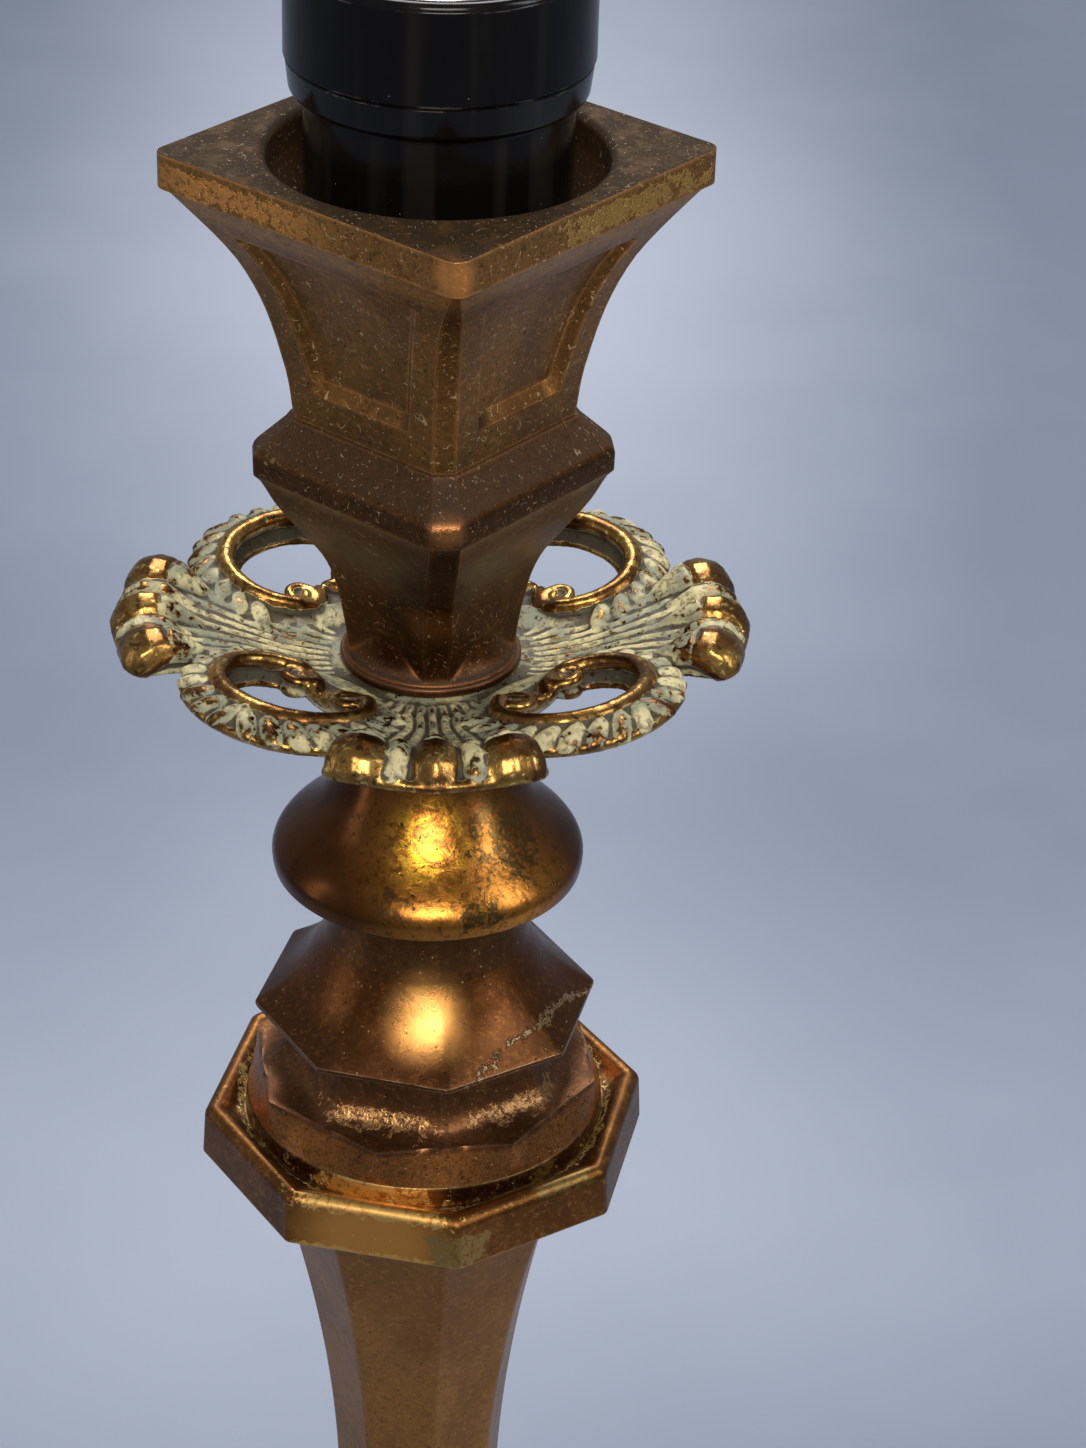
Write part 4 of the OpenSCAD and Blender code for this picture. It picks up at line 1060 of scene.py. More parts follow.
def lay_rib(middle, share, start, thin, thick):
    """One rib of a shell, from a radius near the hub out to the fingers."""
    points, radii = [], []
    for i in range(17):
        r = start + (RIBS_END - start) * i / 16
        across = share * lobe_half_width(r) * (1.0 - 0.05 * abs(share))
        bearing = middle + math.degrees(math.atan2(across, r))
        lift = 0.1 + 0.9 * ((r - start) / (RIBS_END - start)) ** 1.5
        points.append(on_disc(math.hypot(r, across), bearing, lift))
        radii.append(thin + (thick - thin) * i / 16)
    lay_wire(points, radii)


def lay_finger(middle, offset, wide):
    """One rounded finger: its root is painted like the ribs, its curled tip is gilt."""
    for aside in (-1.0, -0.5, 0.0, 0.5, 1.0):
        for part, skin in ((FINGER[:4], PAINTED), (FINGER[3:], GILT)):
            points = [on_disc(r, middle + offset + aside * wide * (r - 30) / 16,
                              lift - 0.35 * abs(aside)) for r, lift, thick in part]
            lay_wire(points, [thick * 0.92 for r, lift, thick in part], skin=skin)


for k in range(LOBES):
    middle = 45 + 90 * k
    for j in range(-3, 4):
        lay_rib(middle, j / 3.25, 19.5, 0.55, 0.95)
    for j in range(-3, 3):
        lay_rib(middle, (j + 0.5) / 3.25, 28.0, 0.25, 0.85)
    for offset, wide in ((-14.6, 2.4), (0.0, 0.9), (14.6, 2.4)):
        lay_finger(middle, offset, wide)
    for offset in (-7.2, 7.2):
        lay_wire([on_disc(r, middle + offset, lift) for r, lift, thick in GROOVE],
                 [thick for r, lift, thick in GROOVE])
    rim = []
    for i in range(25):
        offset = -20.5 + 41.0 * i / 24
        scallop = 0.9 * abs(math.sin(math.radians(offset / 14.6 * 90)))
        r = 49.1 - scallop - 1.2 * (abs(offset) / 20.5) ** 4
        t = math.radians(middle + offset)
        rim.append(Vector((r * math.cos(t), r * math.sin(t), DISC_LOW + 8.9)))
    lay_wire(rim, [0.6] + [0.95] * 23 + [0.6], skin=GILT)

# %% Loops
EDGE_SECTION = [(-1.7, -3.4), (-1.0, -1.6), (-0.2, -0.2), (1.2, -0.5), (3.2, -1.1), (5.0, -2.2),
                (5.5, -3.0), (4.9, -3.8), (0.0, -4.0)]


def oval(t, offset=0.0, lift=0.0):
    """A point on the loop's oval at parameter t, moved outwards by an offset."""
    x = LOOP_R + (LOOP_DEEP + offset) * math.cos(t)
    y = (LOOP_WIDE + offset) * math.sin(t)
    return from_plan(x, y, 1.9 + lift)


BAND_BASE = 20.0
SCROLL_POINTS = 18
for k in range(LOBES):
    turn_loop = turn(90 * k)
    band = spin_outline([(BAND_BASE + offset, z) for offset, z in EDGE_SECTION], 96)
    for v in band.verts:
        t = math.atan2(v.co.y, v.co.x)
        v.co = turn_loop @ oval(t, math.hypot(v.co.x, v.co.y) - BAND_BASE, v.co.z)
    join(pattern, band)
    inner = [oval(math.radians(7.5 * i), -1.65, -3.3) for i in range(48)]
    lay_wire([turn_loop @ p for p in inner], 0.5, ring=True, skin=GILT)

    # The smooth wire runs round the outside and ends in two scrolls beside the hub.
    path = [oval(math.radians(t), -0.15, 0.35) for t in range(-146, 147, 6)]
    radii = [1.2 + 0.45 * math.cos(math.radians(t) / 2) for t in range(-146, 147, 6)]
    scroll = []
    for i in range(SCROLL_POINTS):
        t = math.radians(180 + 28 * i)
        reach = 2.8 - 2.1 * i / (SCROLL_POINTS - 1)
        x, y = 23.6 + reach * math.cos(t), 5.5 + reach * math.sin(t)
        scroll.append(from_plan(x, y, 1.7 + 0.03 * i))
    tail = [1.1 - 0.3 * i / (SCROLL_POINTS - 1) for i in range(SCROLL_POINTS)]
    mirrored = [Vector((p.x, -p.y, p.z)) for p in scroll]
    whole = mirrored[::-1] + path + scroll
    lay_wire([turn_loop @ p for p in whole], tail[::-1] + radii + tail, skin=GILT)
    for side in (-1, 1):
        lay_bulb(pattern, turn_loop @ from_plan(23.7, 5.5 * side, 1.3), 90 * k, (1.0, 1.0, 1.0))
        lay_bulb(pattern, turn_loop @ from_plan(22.0, 6.8 * side, -0.6), 90 * k, (3.4, 2.6, 1.6))
        lay_bulb(pattern, turn_loop @ from_plan(22.6, 2.3 * side, 0.9), 90 * k - 40 * side,
                 (3.3, 1.5, 1.7), lean=-6, skin=GILT)
    lay_bulb(pattern, turn_loop @ from_plan(21.6, 0.0, -0.4), 90 * k, (2.6, 5.0, 1.4))

    # Leaves point outwards all round the wire, and a bead runs round their tips.
    for i in range(17):
        t = math.radians(-116 + 14.5 * i)
        out = turn_loop.to_3x3() @ Vector((math.cos(t), math.sin(t), 0))
        bearing = math.degrees(math.atan2(out.y, out.x))
        lay_bulb(pattern, turn_loop @ oval(t, 3.4, -1.1), bearing + 34 * (1 if t > 0 else -1),
                 (3.3, 1.7, 1.3), lean=16)
    tips = [oval(math.radians(t), 5.0, -2.6) for t in range(-118, 119, 5)]
    lay_wire([turn_loop @ p for p in tips], 0.8, skin=GILT)

# %% [markdown]
# ### Melting the pattern
# The remesh leaves a skin of even small faces, and Decimate thins them where the form is flat.
# Each point then learns how far it stands above two smoothed copies of the skin, one a little
# smoothed and one a lot, so that paint can find the grooves and the gaps. It also learns whether
# the nearest form of the pattern was meant to be gilt: the big tongues, the wires and the
# scrolls. All three are kept as attributes, so they hold from every side and in every light.

# %% Melt
def smooth(bm, steps):
    """Evens out a mesh a number of times."""
    for step in range(steps):
        bmesh.ops.smooth_vert(bm, verts=bm.verts, factor=0.5, use_axis_x=True, use_axis_y=True,
                              use_axis_z=True)


melt_wires(pattern, PAINTED)
melt_wires(pattern, GILT)
pattern.faces.ensure_lookup_table()
forms = BVHTree.FromBMesh(pattern)
form_skin = [face.material_index for face in pattern.faces]
VOXEL = 0.33
KEEP = 0.42


def melt(blank):
    """One skin over everything, then fewer faces where it is flat."""
    skin = blank.modifiers.new("skin", "REMESH")
    skin.mode = "VOXEL"
    skin.voxel_size = VOXEL
    skin.adaptivity = 0.0
    thinner = blank.modifiers.new("thinner", "DECIMATE")
    thinner.ratio = KEEP


bm = evaluated(pattern, melt)
gilding = [form_skin[forms.find_nearest(v.co)[2]] for v in bm.verts]
for face in bm.faces:
    face.material_index = 0
bm.verts.index_update()
for step in range(2):
    gilding = [sum(gilding[e.other_vert(v).index] for e in v.link_edges) / len(v.link_edges)
               for v in bm.verts]
smooth(bm, 3)
for v in bm.verts:
    v.co += v.normal * 0.06 * noise.noise(v.co / 1.6)
bmesh.ops.rotate(bm, matrix=Matrix.Rotation(DISC_TURN, 3, "Z"), verts=bm.verts)
smoothed = bm.copy()
shapes = {"gilding": gilding}
for name, steps in (("relief", 12), ("depth", 36)):
    smooth(smoothed, steps)
    shapes[name] = [(a.co - b.co).dot(a.normal) for a, b in zip(bm.verts, smoothed.verts)]
    print(name, "from", round(min(shapes[name]), 2), "to", round(max(shapes[name]), 2), "mm")
smoothed.free()
disc = finish_piece(bm, "pierced_disc", "gilt_disc", ["pierced_disc"], 0.0, 180)
for name, values in shapes.items():
    disc.data.attributes.new(name, "FLOAT", "POINT").data.foreach_set("value", values)

# %% [markdown]
# ## Finishes
# The castings are brass under a century of brown lacquer, dust and handling. One recipe serves
# them all: clouds of brown tone, darker stains, bare bright metal along the edges, dust on what
# faces the ceiling, and fine pits, with dust and painted shade inside mouths and crevices where
# asked. Each slot then gets its own colours and amounts. A finish may also name bands, which
# change its tone above or below a level, and marks: ragged or soft places where the lacquer has
# worn through or stained, and painted highlights where a lamp's reflection would fall.


# %% Aged bronze
finishes = {}


def own_level(tree):
    """Height above the floor, in millimetres."""
    return times(tree, height_of(tree, here(tree)), 1 / MM)


def add_marks(tree, tone, marks, seed):
    """Lays ragged marks on a tone. Returns the tone and where the marks are."""
    covered = None
    for i, (place, reach, ragged, size, colour, *limits) in enumerate(marks):
        spot = patch(tree, place, reach, ragged, size, seed + 2.7 * i)
        if ragged or limits:
            holes = grain(tree, 0.9, 3.0, 0.65, seed + 4.1 * i)
            spot = times(tree, spot, between(tree, holes, 0.38, 0.50, 0.15, 1.0))
        if limits:
            low, high = limits
            wander = minus(tree, grain(tree, 1.8, 4.0, 0.7, seed + i), 0.5)
            height = plus(tree, own_level(tree), times(tree, wander, 4.0))
            spot = times(tree, spot, between(tree, height, low, low + 0.3))
            spot = times(tree, spot, between(tree, height, high, high - 0.3))
        tone = blend(tree, spot, tone, colour)
        covered = spot if covered is None else larger(tree, covered, spot)
    return tone, covered


def aged_bronze(name, bright, brown, dark, dust_and_shade, seed, edge, dusty=0.5, worn=0.8, gloss=0.34,
                hairs=0.0, edge_width=0.7, crevice_dust_and_shade=None, bands=(), marks=(), turned=1.0, fleck=0.0,
                line=None):
    """Lacquered and dusty cast bronze, with dust and painted shade inside mouths and crevices."""
    finishes[name], tree, shader = finish(name)
    clouds = grain(tree, 15.0, 4.0, 0.55, seed, 0.4, (1.0, 1.0, 0.6))
    stains = grain(tree, 4.0, 6.0, 0.65, seed + 5.0, 0.6)
    grit = grain(tree, 0.45, 4.0, 0.7, seed + 9.0, 0.0, (1.0, 1.0, turned))
    tone = blend(tree, between(tree, clouds, 0.34, 0.64), dark, brown)
    for low, high, colour, amount in bands:
        band = between(tree, own_level(tree), low, high, 0.0, amount)
        tone = blend(tree, band, tone, colour)
    tone = blend(tree, between(tree, stains, 0.54, 0.76, 0.0, 0.5), tone, bright)
    mottle = grain(tree, 1.3, 5.0, 0.75, seed + 12.0)
    tone = blend(tree, between(tree, mottle, 0.52, 0.66, 0.0, 0.6), tone, bright)
    tone = blend(tree, between(tree, mottle, 0.48, 0.36, 0.0, 0.75), tone, dark)
    tone = blend(tree, between(tree, grit, 0.35, 0.65, 0.6, 0.0), tone, dark)
    spots = specks(tree, 1.9, 0.12, seed)
    tone = blend(tree, times(tree, spots, 0.8), tone, (0.02, 0.013, 0.008))
    tone, covered = add_marks(tree, tone, marks, seed)
    if line:
        centre, reach, width, colour = line
        covered = old_line(tree, centre, reach, width, seed)
        tone = blend(tree, covered, tone, colour)
    rubbed = times(tree, worn_edges(tree, edge_width), between(tree, stains, 0.30, 0.55), True)
    rubbed = times(tree, rubbed, worn, True)
    tone = blend(tree, rubbed, tone, edge)
    settle = times(tree, facing_up(tree), between(tree, stains, 0.32, 0.55, 0.85, 1.0), True)
    settle = times(tree, settle, dusty, True)
    settle = times(tree, settle, between(tree, grit, 0.25, 0.6, 0.8, 1.0), True)
    tone = blend(tree, settle, tone, dust_and_shade)
    if crevice_dust_and_shade:
        # Surfaces that face the axis, as inside a mouth, take the dust colour: dust and painted
        # shade.
        inside = times(tree, facing_axis(tree), 0.9)
        tone = blend(tree, inside, tone, dust_and_shade)
        settle = larger(tree, settle, inside)
        # Dust packed in corners found by occlusion, which also paints shade there.
        packed_dust_and_shade = times(tree, crevices(tree, 2.2), between(tree, grit, 0.3, 0.6, 0.2, 0.85), True)
        tone = blend(tree, packed_dust_and_shade, tone, crevice_dust_and_shade)
        settle = larger(tree, settle, times(tree, packed_dust_and_shade, 0.8))
    if hairs:
        hair = fibres(tree, 3.6, 0.013, seed)
        for size, width, shift in ((2.0, 0.022, 40.0), (1.5, 0.030, 80.0)):
            hair = larger(tree, hair, fibres(tree, size, width, seed + shift))
        hair = times(tree, hair, between(tree, clouds, 0.34, 0.56, 0.35 * hairs, hairs))
        tone = blend(tree, hair, tone, (0.38, 0.29, 0.15))
        settle = larger(tree, settle, hair)
    if fleck:
        motes = times(tree, specks(tree, 1.5, 0.14, seed + 50.0), fleck)
        motes = times(tree, motes, between(tree, stains, 0.46, 0.56))
        tone = blend(tree, motes, tone, (0.42, 0.30, 0.17))
        settle = larger(tree, settle, motes)
    metal = between(tree, settle, 0.0, 0.8, 0.95, 0.1)
    rough = plus(tree, times(tree, stains, 0.22), gloss - 0.11)
    rough = plus(tree, rough, times(tree, settle, 0.45), True)
    layers = [(clouds, 0.10), (stains, 0.07), (grit, 0.020), (spots, -0.05)]
    if covered is not None:
        layers.append((times(tree, covered, grain(tree, 1.1, 3.0, 0.6, seed + 60.0)), 0.22))
    wire_up(tree, shader, colour=tone, metal=metal, rough=rough, specular=0.3,
            normal=bumps(tree, layers))


# %% Bronze of the cup and the stem
# A mark is its place, its reach, how ragged it is, the size of its rags and its colour, and for
# some the lowest and the highest level that it covers.
RIM = (CUP_TOP - 5.0, CUP_TOP - 1.2)
aged_bronze(
    "cup_bronze", (0.56, 0.24, 0.055), (0.34, 0.150, 0.038), (0.17, 0.078, 0.022),
    (0.030, 0.017, 0.006), 1.0, (0.88, 0.38, 0.11), dusty=1.0, worn=1.0, gloss=0.38, hairs=1.0,
    edge_width=1.0, crevice_dust_and_shade=(0.16, 0.078, 0.020), fleck=1.0,
    bands=[(CUP_TOP - 11, CUP_TOP - 8, (0.54, 0.26, 0.065), 0.75)],
    # The first mark is a worn corner painted bright as a highlight where the front lamp's
    # reflection falls.
    marks=[(toward(3.5, 40.6, CUP_TOP - 2.5), 4.5, 0.0, 2.5, (0.90, 0.36, 0.090)),
           (toward(-62, 36, CUP_TOP - 3), 24.0, 0.0, 7.0, (0.86, 0.37, 0.090), *RIM),
           (toward(65, 35, CUP_TOP - 3), 15.0, 3.5, 7.0, (0.62, 0.35, 0.08), *RIM)])
aged_bronze(
    "stem_bronze", (0.22, 0.088, 0.030), (0.118, 0.050, 0.019), (0.062, 0.026, 0.010),
    (0.038, 0.021, 0.009), 2.0, (0.44, 0.18, 0.060), dusty=0.95, worn=1.0, gloss=0.36, hairs=0.7,
    edge_width=1.0, crevice_dust_and_shade=(0.09, 0.046, 0.018), fleck=0.7,
    bands=[(STEM_TOP - 12, STEM_TOP - 9.5, (0.14, 0.064, 0.022), 0.85),
           (STEM_LOW + 3.0, STEM_LOW + 0.6, (0.22, 0.088, 0.034), 0.9)],
    # The first mark is a painted highlight on the middle flange's front corner, the other two a
    # painted highlight down the stem's front chamfer.
    marks=[(toward(4.5, 28.0, STEM_TOP - 5.5), 4.2, 0.0, 2.5, (0.50, 0.20, 0.065)),
           (toward(2, 12.0, STEM_LOW + 12), 5.5, 0.0, 2.5, (0.26, 0.105, 0.034)),
           (toward(2, 13.0, STEM_LOW + 21), 5.0, 0.0, 2.5, (0.24, 0.098, 0.032))])
aged_bronze(
    "copper_ring", (0.28, 0.115, 0.048), (0.17, 0.068, 0.028), (0.08, 0.034, 0.015),
    (0.10, 0.062, 0.036), 3.0, (0.5, 0.22, 0.1), dusty=0.45, worn=0.6)

# %% Bronze of the bell, collar, flange, columns and base
aged_bronze(
    "bell_bronze", (0.42, 0.155, 0.034), (0.24, 0.082, 0.020), (0.125, 0.043, 0.012),
    (0.16, 0.105, 0.055), 4.0, (0.62, 0.38, 0.2), dusty=0.10, gloss=0.28, edge_width=0.35,
    turned=7.0, fleck=0.7,
    bands=[(BELL_LOW + 12, BELL_LOW + 17, (0.13, 0.075, 0.032), 0.8),
           (BELL_LOW + 7.5, BELL_LOW + 3.0, (0.105, 0.037, 0.011), 0.95)],
    # The mark is a painted highlight: a soft bright patch on the bell's front where the front
    # lamp's reflection falls.
    marks=[(toward(0, 21.5, BELL_LOW + 10.2), 9.6, 0.0, 6.0, (0.74, 0.35, 0.092))],
    line=(toward(55, 26.0, BELL_LOW - 32.3), 37.0, 0.5, (0.40, 0.27, 0.13)))
BEAD = (COLLAR_LOW + 6.8, COLLAR_LOW + 9.2)
aged_bronze(
    "collar_bronze", (0.42, 0.180, 0.062), (0.28, 0.108, 0.037), (0.13, 0.050, 0.019),
    (0.12, 0.075, 0.040), 5.0, (0.42, 0.22, 0.11), dusty=0.2, worn=0.7, gloss=0.29, fleck=0.5,
    bands=[(COLLAR_LOW + 5.6, COLLAR_LOW + 4.8, (0.54, 0.205, 0.050), 0.9)],
    # Both marks are partly flaked lacquer and partly painted highlight, bright on the cove where
    # the lamps' reflections fall.
    marks=[(toward(-20, 24.4, COLLAR_LOW + 8.0), 9.0, 3.0, 2.0, (0.62, 0.32, 0.12), *BEAD),
           (toward(44, 24.4, COLLAR_LOW + 7.8), 9.0, 3.6, 2.0, (0.44, 0.23, 0.09), *BEAD)])
SEAT = span("octagon_flange")[1]
SHOULDER = (SEAT - 3.4, SEAT + 2)
aged_bronze(
    "flange_bronze", (0.58, 0.28, 0.060), (0.30, 0.115, 0.024), (0.14, 0.052, 0.013),
    (0.16, 0.100, 0.042), 6.0, (0.62, 0.38, 0.12), dusty=0.12, gloss=0.36, fleck=0.4,
    # The first mark is painted shade in the valley inside the bead; the second is a painted
    # highlight on the front faces, and the two on the shoulder are painted highlights along the
    # bead.
    marks=[(toward(0, 0.0, SEAT - 2.5), 33.2, 0.16, 3.0, (0.062, 0.025, 0.009)),
           (toward(-14, 35.5, COLUMN_TOP + 3), 17.0, 0.0, 8.0, (0.78, 0.34, 0.076)),
           (toward(-22, 34.8, SEAT - 2), 8.5, 3.0, 3.0, (0.95, 0.56, 0.17), *SHOULDER),
           (toward(-4, 34.8, SEAT - 2), 6.5, 3.4, 3.0, (0.90, 0.52, 0.15), *SHOULDER),
           (toward(-15, 35.0, COLUMN_TOP + 0.4), 13.0, 2.6, 3.0, (0.92, 0.52, 0.13),
            COLUMN_TOP - 3, COLUMN_TOP + 1.0),
           (toward(9, 36.0, COLUMN_TOP + 2), 6.0, 2.6, 4.0, (0.40, 0.24, 0.075),
            COLUMN_TOP - 3, COLUMN_TOP + 6),
           (toward(42, 33.3, SEAT - 1.5), 5.0, 3.0, 4.0, (0.24, 0.150, 0.045),
            SEAT - 3.2, SEAT + 2)],
    line=(toward(0, 0.0, SEAT - 2.4), 30.6, 0.45, (0.52, 0.36, 0.12)))
aged_bronze(
    "column_bronze", (0.60, 0.29, 0.080), (0.46, 0.205, 0.054), (0.27, 0.116, 0.032),
    (0.16, 0.11, 0.06), 7.0, (0.42, 0.17, 0.055), dusty=0.1, worn=0.7, fleck=0.4,
    bands=[(COLUMN_TOP - 14, COLUMN_TOP - 1, (0.14, 0.072, 0.028), 0.75)])
aged_bronze(
    "base_bronze", (0.42, 0.23, 0.09), (0.25, 0.130, 0.052), (0.12, 0.068, 0.032),
    (0.13, 0.095, 0.055), 8.0, (0.60, 0.34, 0.12), dusty=0.6, gloss=0.36, hairs=0.3,
    edge_width=1.4, crevice_dust_and_shade=(0.14, 0.09, 0.045))

# %% [markdown]
# ## Gilt and old cream paint
# The disc was painted cream at some time, and the paint has gone from everything that stands
# proud and smooth. So three attributes choose: gilding says which forms are bare gilt brass,
# depth keeps paint in the gaps between them, and relief darkens the fine grooves with painted
# shade. The paint is cream in some patches and grey-green in others.

# %% Gilt disc
finishes["gilt_disc"], tree, shader = finish("gilt_disc")
relief, depth, gilding = (add(tree, "Attribute", attribute_name=n).outputs["Fac"]
                          for n in ("relief", "depth", "gilding"))
flakes = grain(tree, 1.3, 5.0, 0.65, 11.0, 0.3)
patches = grain(tree, 6.0, 3.0, 0.5, 13.0)
grit = grain(tree, 0.45, 4.0, 0.7, 17.0)
wander = plus(tree, minus(tree, flakes, 0.5), times(tree, minus(tree, patches, 0.5), 0.7))
bare = between(tree, plus(tree, gilding, times(tree, wander, 1.9)), 0.40, 0.52)
filled = between(tree, plus(tree, depth, times(tree, wander, 0.5)), -0.06, -0.16)
bare = times(tree, bare, minus(tree, 1.0, filled), True)
rubbed = between(tree, plus(tree, relief, times(tree, wander, 0.5)), 0.13, 0.19)
bare = larger(tree, bare, times(tree, rubbed, between(tree, patches, 0.42, 0.48)))
chipped = between(tree, plus(tree, flakes, times(tree, patches, 0.25)), 0.735, 0.765)
bare = larger(tree, bare, chipped)
cream = blend(tree, between(tree, patches, 0.40, 0.58), (0.74, 0.65, 0.34), (0.30, 0.31, 0.20))
cream = blend(tree, between(tree, flakes, 0.48, 0.60, 0.0, 0.8), cream, (0.24, 0.20, 0.11))
# Painted shade: the fine grooves are darkened almost to black.
groove_shade = between(tree, plus(tree, relief, times(tree, wander, 0.28)), -0.01, -0.09)
cream = blend(tree, times(tree, groove_shade, 0.92), cream, (0.040, 0.027, 0.013))
cream = blend(tree, between(tree, grit, 0.60, 0.70), cream, (0.07, 0.05, 0.025))
gold = blend(tree, between(tree, patches, 0.42, 0.60), (0.46, 0.250, 0.066), (0.22, 0.100, 0.028))
gold = blend(tree, between(tree, flakes, 0.55, 0.64, 0.0, 0.85), gold, (0.09, 0.047, 0.018))
gold = blend(tree, between(tree, flakes, 0.43, 0.35, 0.0, 0.9), gold, (0.82, 0.57, 0.17))
colour = blend(tree, bare, cream, gold)
wire_up(tree, shader, colour=colour, metal=between(tree, bare, 0.0, 1.0, 0.0, 0.96),
        rough=between(tree, bare, 0.0, 1.0, 0.62, 0.27),
        normal=bumps(tree, [(bare, -0.06), (flakes, 0.07), (grit, 0.012)]))

# %% Lacquered brass
# The knob's front is painted brighter and its sides kept dark: partly wear, partly painted light
# from the front lamp and painted dark reflections on the sides.
finishes["lacquered_brass"], tree, shader = finish("lacquered_brass")
clouds = grain(tree, 12.0, 4.0, 0.6, 21.0, 0.5)
stains = grain(tree, 3.0, 6.0, 0.65, 23.0, 0.8)
grit = grain(tree, 0.5, 4.0, 0.7, 24.0)
tone = blend(tree, between(tree, clouds, 0.35, 0.62), (0.075, 0.025, 0.008), (0.14, 0.048, 0.013))
worn_and_lit_front = larger(tree, patch(tree, toward(4, 19.0, KNOB_LOW + 12), 17.0),
                 patch(tree, toward(24, 24.0, KNOB_LOW + 4), 24.0))
tone = blend(tree, times(tree, worn_and_lit_front, 0.9), tone, (0.50, 0.200, 0.034))
# A painted highlight: a bright spot on the front where the front lamp's reflection falls.
painted_highlight = patch(tree, toward(0, 17.6, KNOB_LOW + 13.5), 9.0)
painted_highlight = times(tree, painted_highlight, between(tree, stains, 0.46, 0.53))
tone = blend(tree, painted_highlight, tone, (0.88, 0.46, 0.042))
tone = add_marks(tree, tone, [
    (toward(44, 18.5, KNOB_LOW + 13), 6.0, 4.0, 3.0, (0.15, 0.082, 0.022)),
    (toward(20, 24.0, KNOB_LOW + 3.5), 3.0, 4.0, 3.0, (0.14, 0.078, 0.022)),
    (toward(-14, 24.0, KNOB_LOW + 6.5), 2.6, 4.0, 3.0, (0.15, 0.070, 0.022))], 29.0)[0]
mottle = grain(tree, 1.5, 5.0, 0.75, 25.0)
tone = blend(tree, between(tree, mottle, 0.50, 0.36, 0.0, 0.7), tone, (0.12, 0.046, 0.013))
scratches = larger(tree, fibres(tree, 1.6, 0.03, 30.0), fibres(tree, 3.0, 0.02, 36.0))
tone = blend(tree, times(tree, scratches, 0.85), tone, (0.06, 0.035, 0.012))
tone = blend(tree, specks(tree, 2.0, 0.08, 31.0), tone, (0.03, 0.02, 0.01))
broken = times(tree, worn_and_lit_front, stains)
wire_up(tree, shader, colour=tone, metal=0.95,
        rough=plus(tree, times(tree, stains, 0.22), 0.14),
        normal=bumps(tree, [(clouds, 0.10), (broken, 0.09), (scratches, -0.04), (grit, 0.008)]))

# %% Black plastic
# Moulded plastic is never quite even: faint upright streaks from the mould, a few motes of dust,
# and a pale rubbed line where two mouldings meet.
finishes["black_plastic"], tree, shader = finish("black_plastic")
streaks = grain(tree, 7.0, 2.0, 0.5, 32.0, 0.0, (1.0, 1.0, 0.04))
motes = specks(tree, 3.6, 0.035, 31.0)
smear = grain(tree, 9.0, 4.0, 0.6, 33.0)
colour = blend(tree, between(tree, streaks, 0.50, 0.62), (0.0040, 0.0034, 0.0028),
               (0.012, 0.0095, 0.0075))
colour = blend(tree, times(tree, motes, 0.7), colour, (0.26, 0.23, 0.18))
broken = between(tree, grain(tree, 5.0, 5.0, 0.7, 34.0), 0.52, 0.62)
scuffs = times(tree, worn_edges(tree, 0.25), broken)
colour = blend(tree, times(tree, scuffs, 0.7), colour, (0.22, 0.19, 0.16))
dusty = plus(tree, between(tree, smear, 0.35, 0.7, 0.10, 0.22), times(tree, motes, 0.4), True)
wire_up(tree, shader, colour=colour, metal=0.0, gloss=1.45, specular=0.32, rough=dusty,
        normal=bumps(tree, [(smear, 0.05), (grain(tree, 0.8, 3.0, 0.6, 37.0), 0.002)]))


# %% Plain metals and the rest
def plain_metal(name, tone, stain, rough, seed, turned):
    """Clean machined or rolled metal with faint stains and turning marks."""
    finishes[name], tree, shader = finish(name)
    blots = grain(tree, 6.0, 5.0, 0.6, seed)
    fine = grain(tree, 0.6, 4.0, 0.6, seed + 2.0, 0.0, (1.0, 1.0, 1.0 + turned))
    colour = blend(tree, between(tree, blots, 0.5, 0.75), tone, stain)
    wire_up(tree, shader, colour=colour, metal=0.95,
            rough=plus(tree, times(tree, fine, 0.2), rough - 0.1),
            normal=bumps(tree, [(fine, 0.012), (blots, 0.05)]))


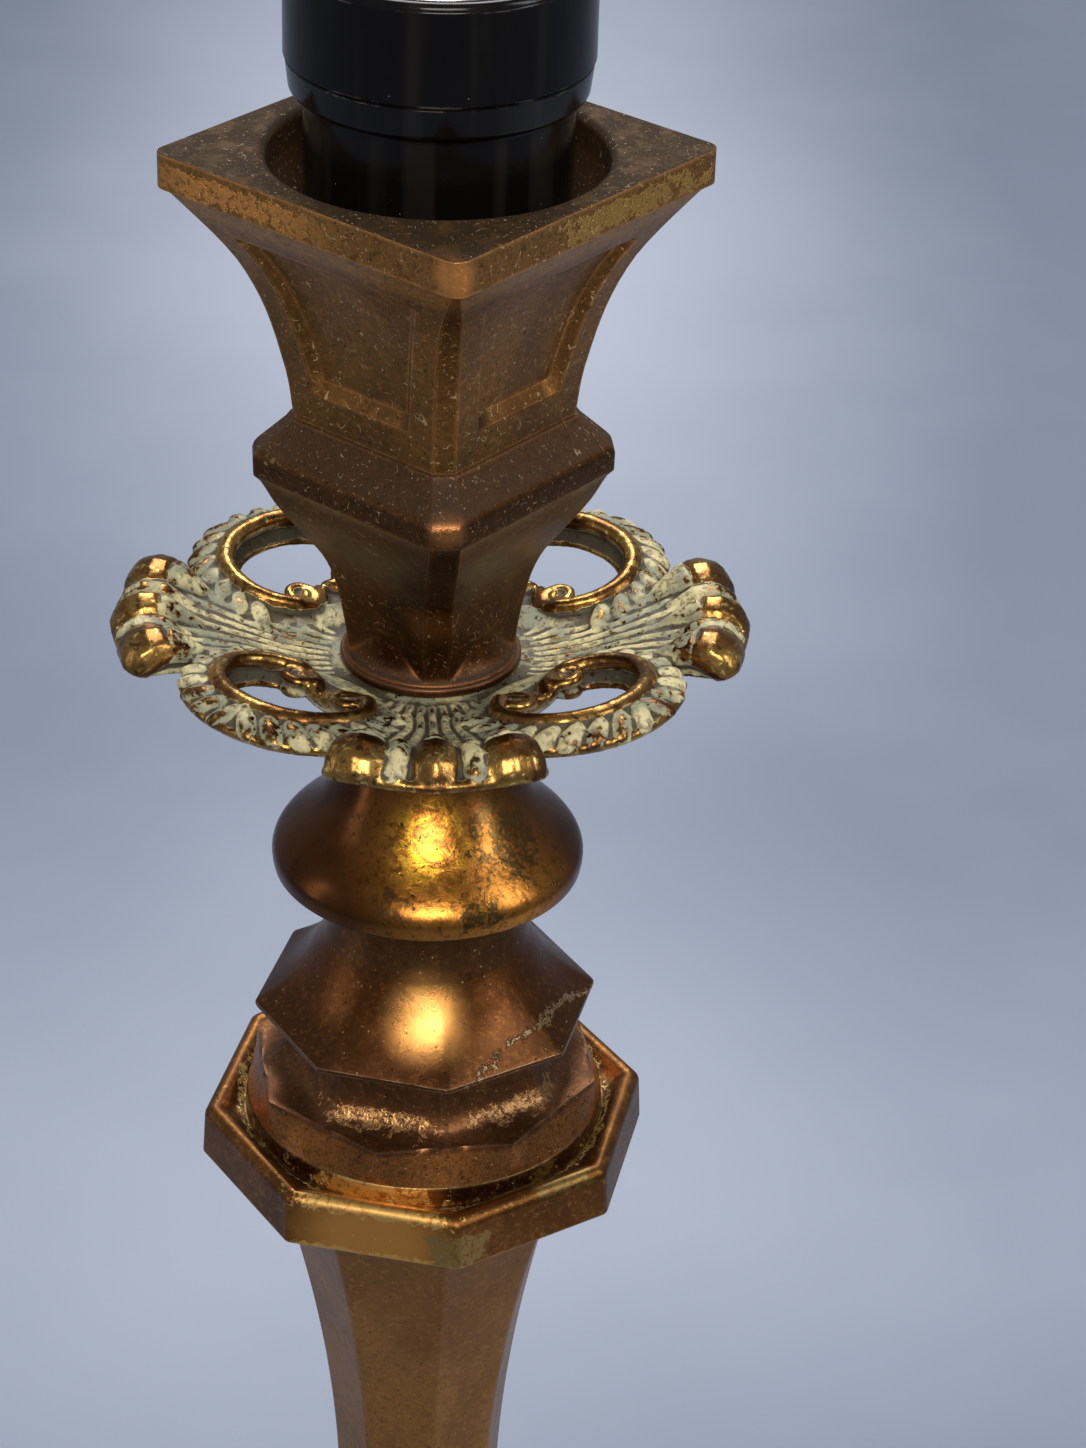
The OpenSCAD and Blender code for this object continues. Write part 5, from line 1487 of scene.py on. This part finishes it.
def dull_stuff(name, tone, other, rough, seed, size, depth):
    """Porcelain, felt, iron and plastic: two tones and a fine surface."""
    finishes[name], tree, shader = finish(name)
    blots = grain(tree, size * 4, 4.0, 0.6, seed)
    fine = grain(tree, size, 5.0, 0.7, seed + 3.0)
    colour = blend(tree, between(tree, blots, 0.35, 0.7), tone, other)
    wire_up(tree, shader, colour=colour, metal=0.0,
            rough=plus(tree, times(tree, fine, 0.2), rough - 0.1, True),
            normal=bumps(tree, [(fine, depth)]))


# Each row is a name, two tones, a roughness and a seed. What follows is how fine the turning marks
# are for metals, and the size and the depth of the grain for the rest.
for row in (
        ("aluminium_shell", (0.72, 0.70, 0.68), (0.45, 0.42, 0.40), 0.3, 41.0, 0.0),
        ("bright_brass", (0.72, 0.52, 0.22), (0.45, 0.28, 0.10), 0.28, 42.0, 9.0),
        ("zinc_steel", (0.55, 0.55, 0.52), (0.36, 0.33, 0.27), 0.36, 43.0, 9.0),
        ("spring_steel", (0.42, 0.42, 0.43), (0.28, 0.27, 0.27), 0.3, 44.0, 0.0),
        ("sheet_steel", (0.34, 0.34, 0.33), (0.24, 0.17, 0.11), 0.45, 45.0, 0.0)):
    plain_metal(*row)
for row in (
        ("raw_iron", (0.045, 0.043, 0.042), (0.10, 0.055, 0.035), 0.75, 46.0, 1.2, 0.3),
        ("porcelain", (0.74, 0.72, 0.66), (0.66, 0.63, 0.56), 0.25, 47.0, 2.0, 0.02),
        ("felt", (0.022, 0.075, 0.038), (0.034, 0.10, 0.05), 0.95, 48.0, 0.5, 0.25),
        ("lead_sheath", (0.26, 0.05, 0.03), (0.20, 0.04, 0.028), 0.5, 49.0, 1.0, 0.02),
        ("connector_plastic", (0.70, 0.67, 0.58), (0.64, 0.60, 0.50), 0.45, 50.0, 1.0, 0.02)):
    dull_stuff(*row)

# %% [markdown]
# ## Handing the finishes out
# The record says which slot each CAD node takes. New pieces name their slot, so both kinds are
# painted by one loop.

# %% Paint everything
slots = {row["node"]: row["material_slot"] for row in frame["record"]["subparts"]}
for name, piece in frame["nodes"].items():
    for place in piece.material_slots:
        place.link = "OBJECT"
        place.material = finishes[slots[name]]
for piece in bpy.context.scene.objects:
    if "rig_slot" in piece:
        piece.data.materials.clear()
        piece.data.materials.append(finishes[piece["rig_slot"]])
print(len(finishes), "finishes")
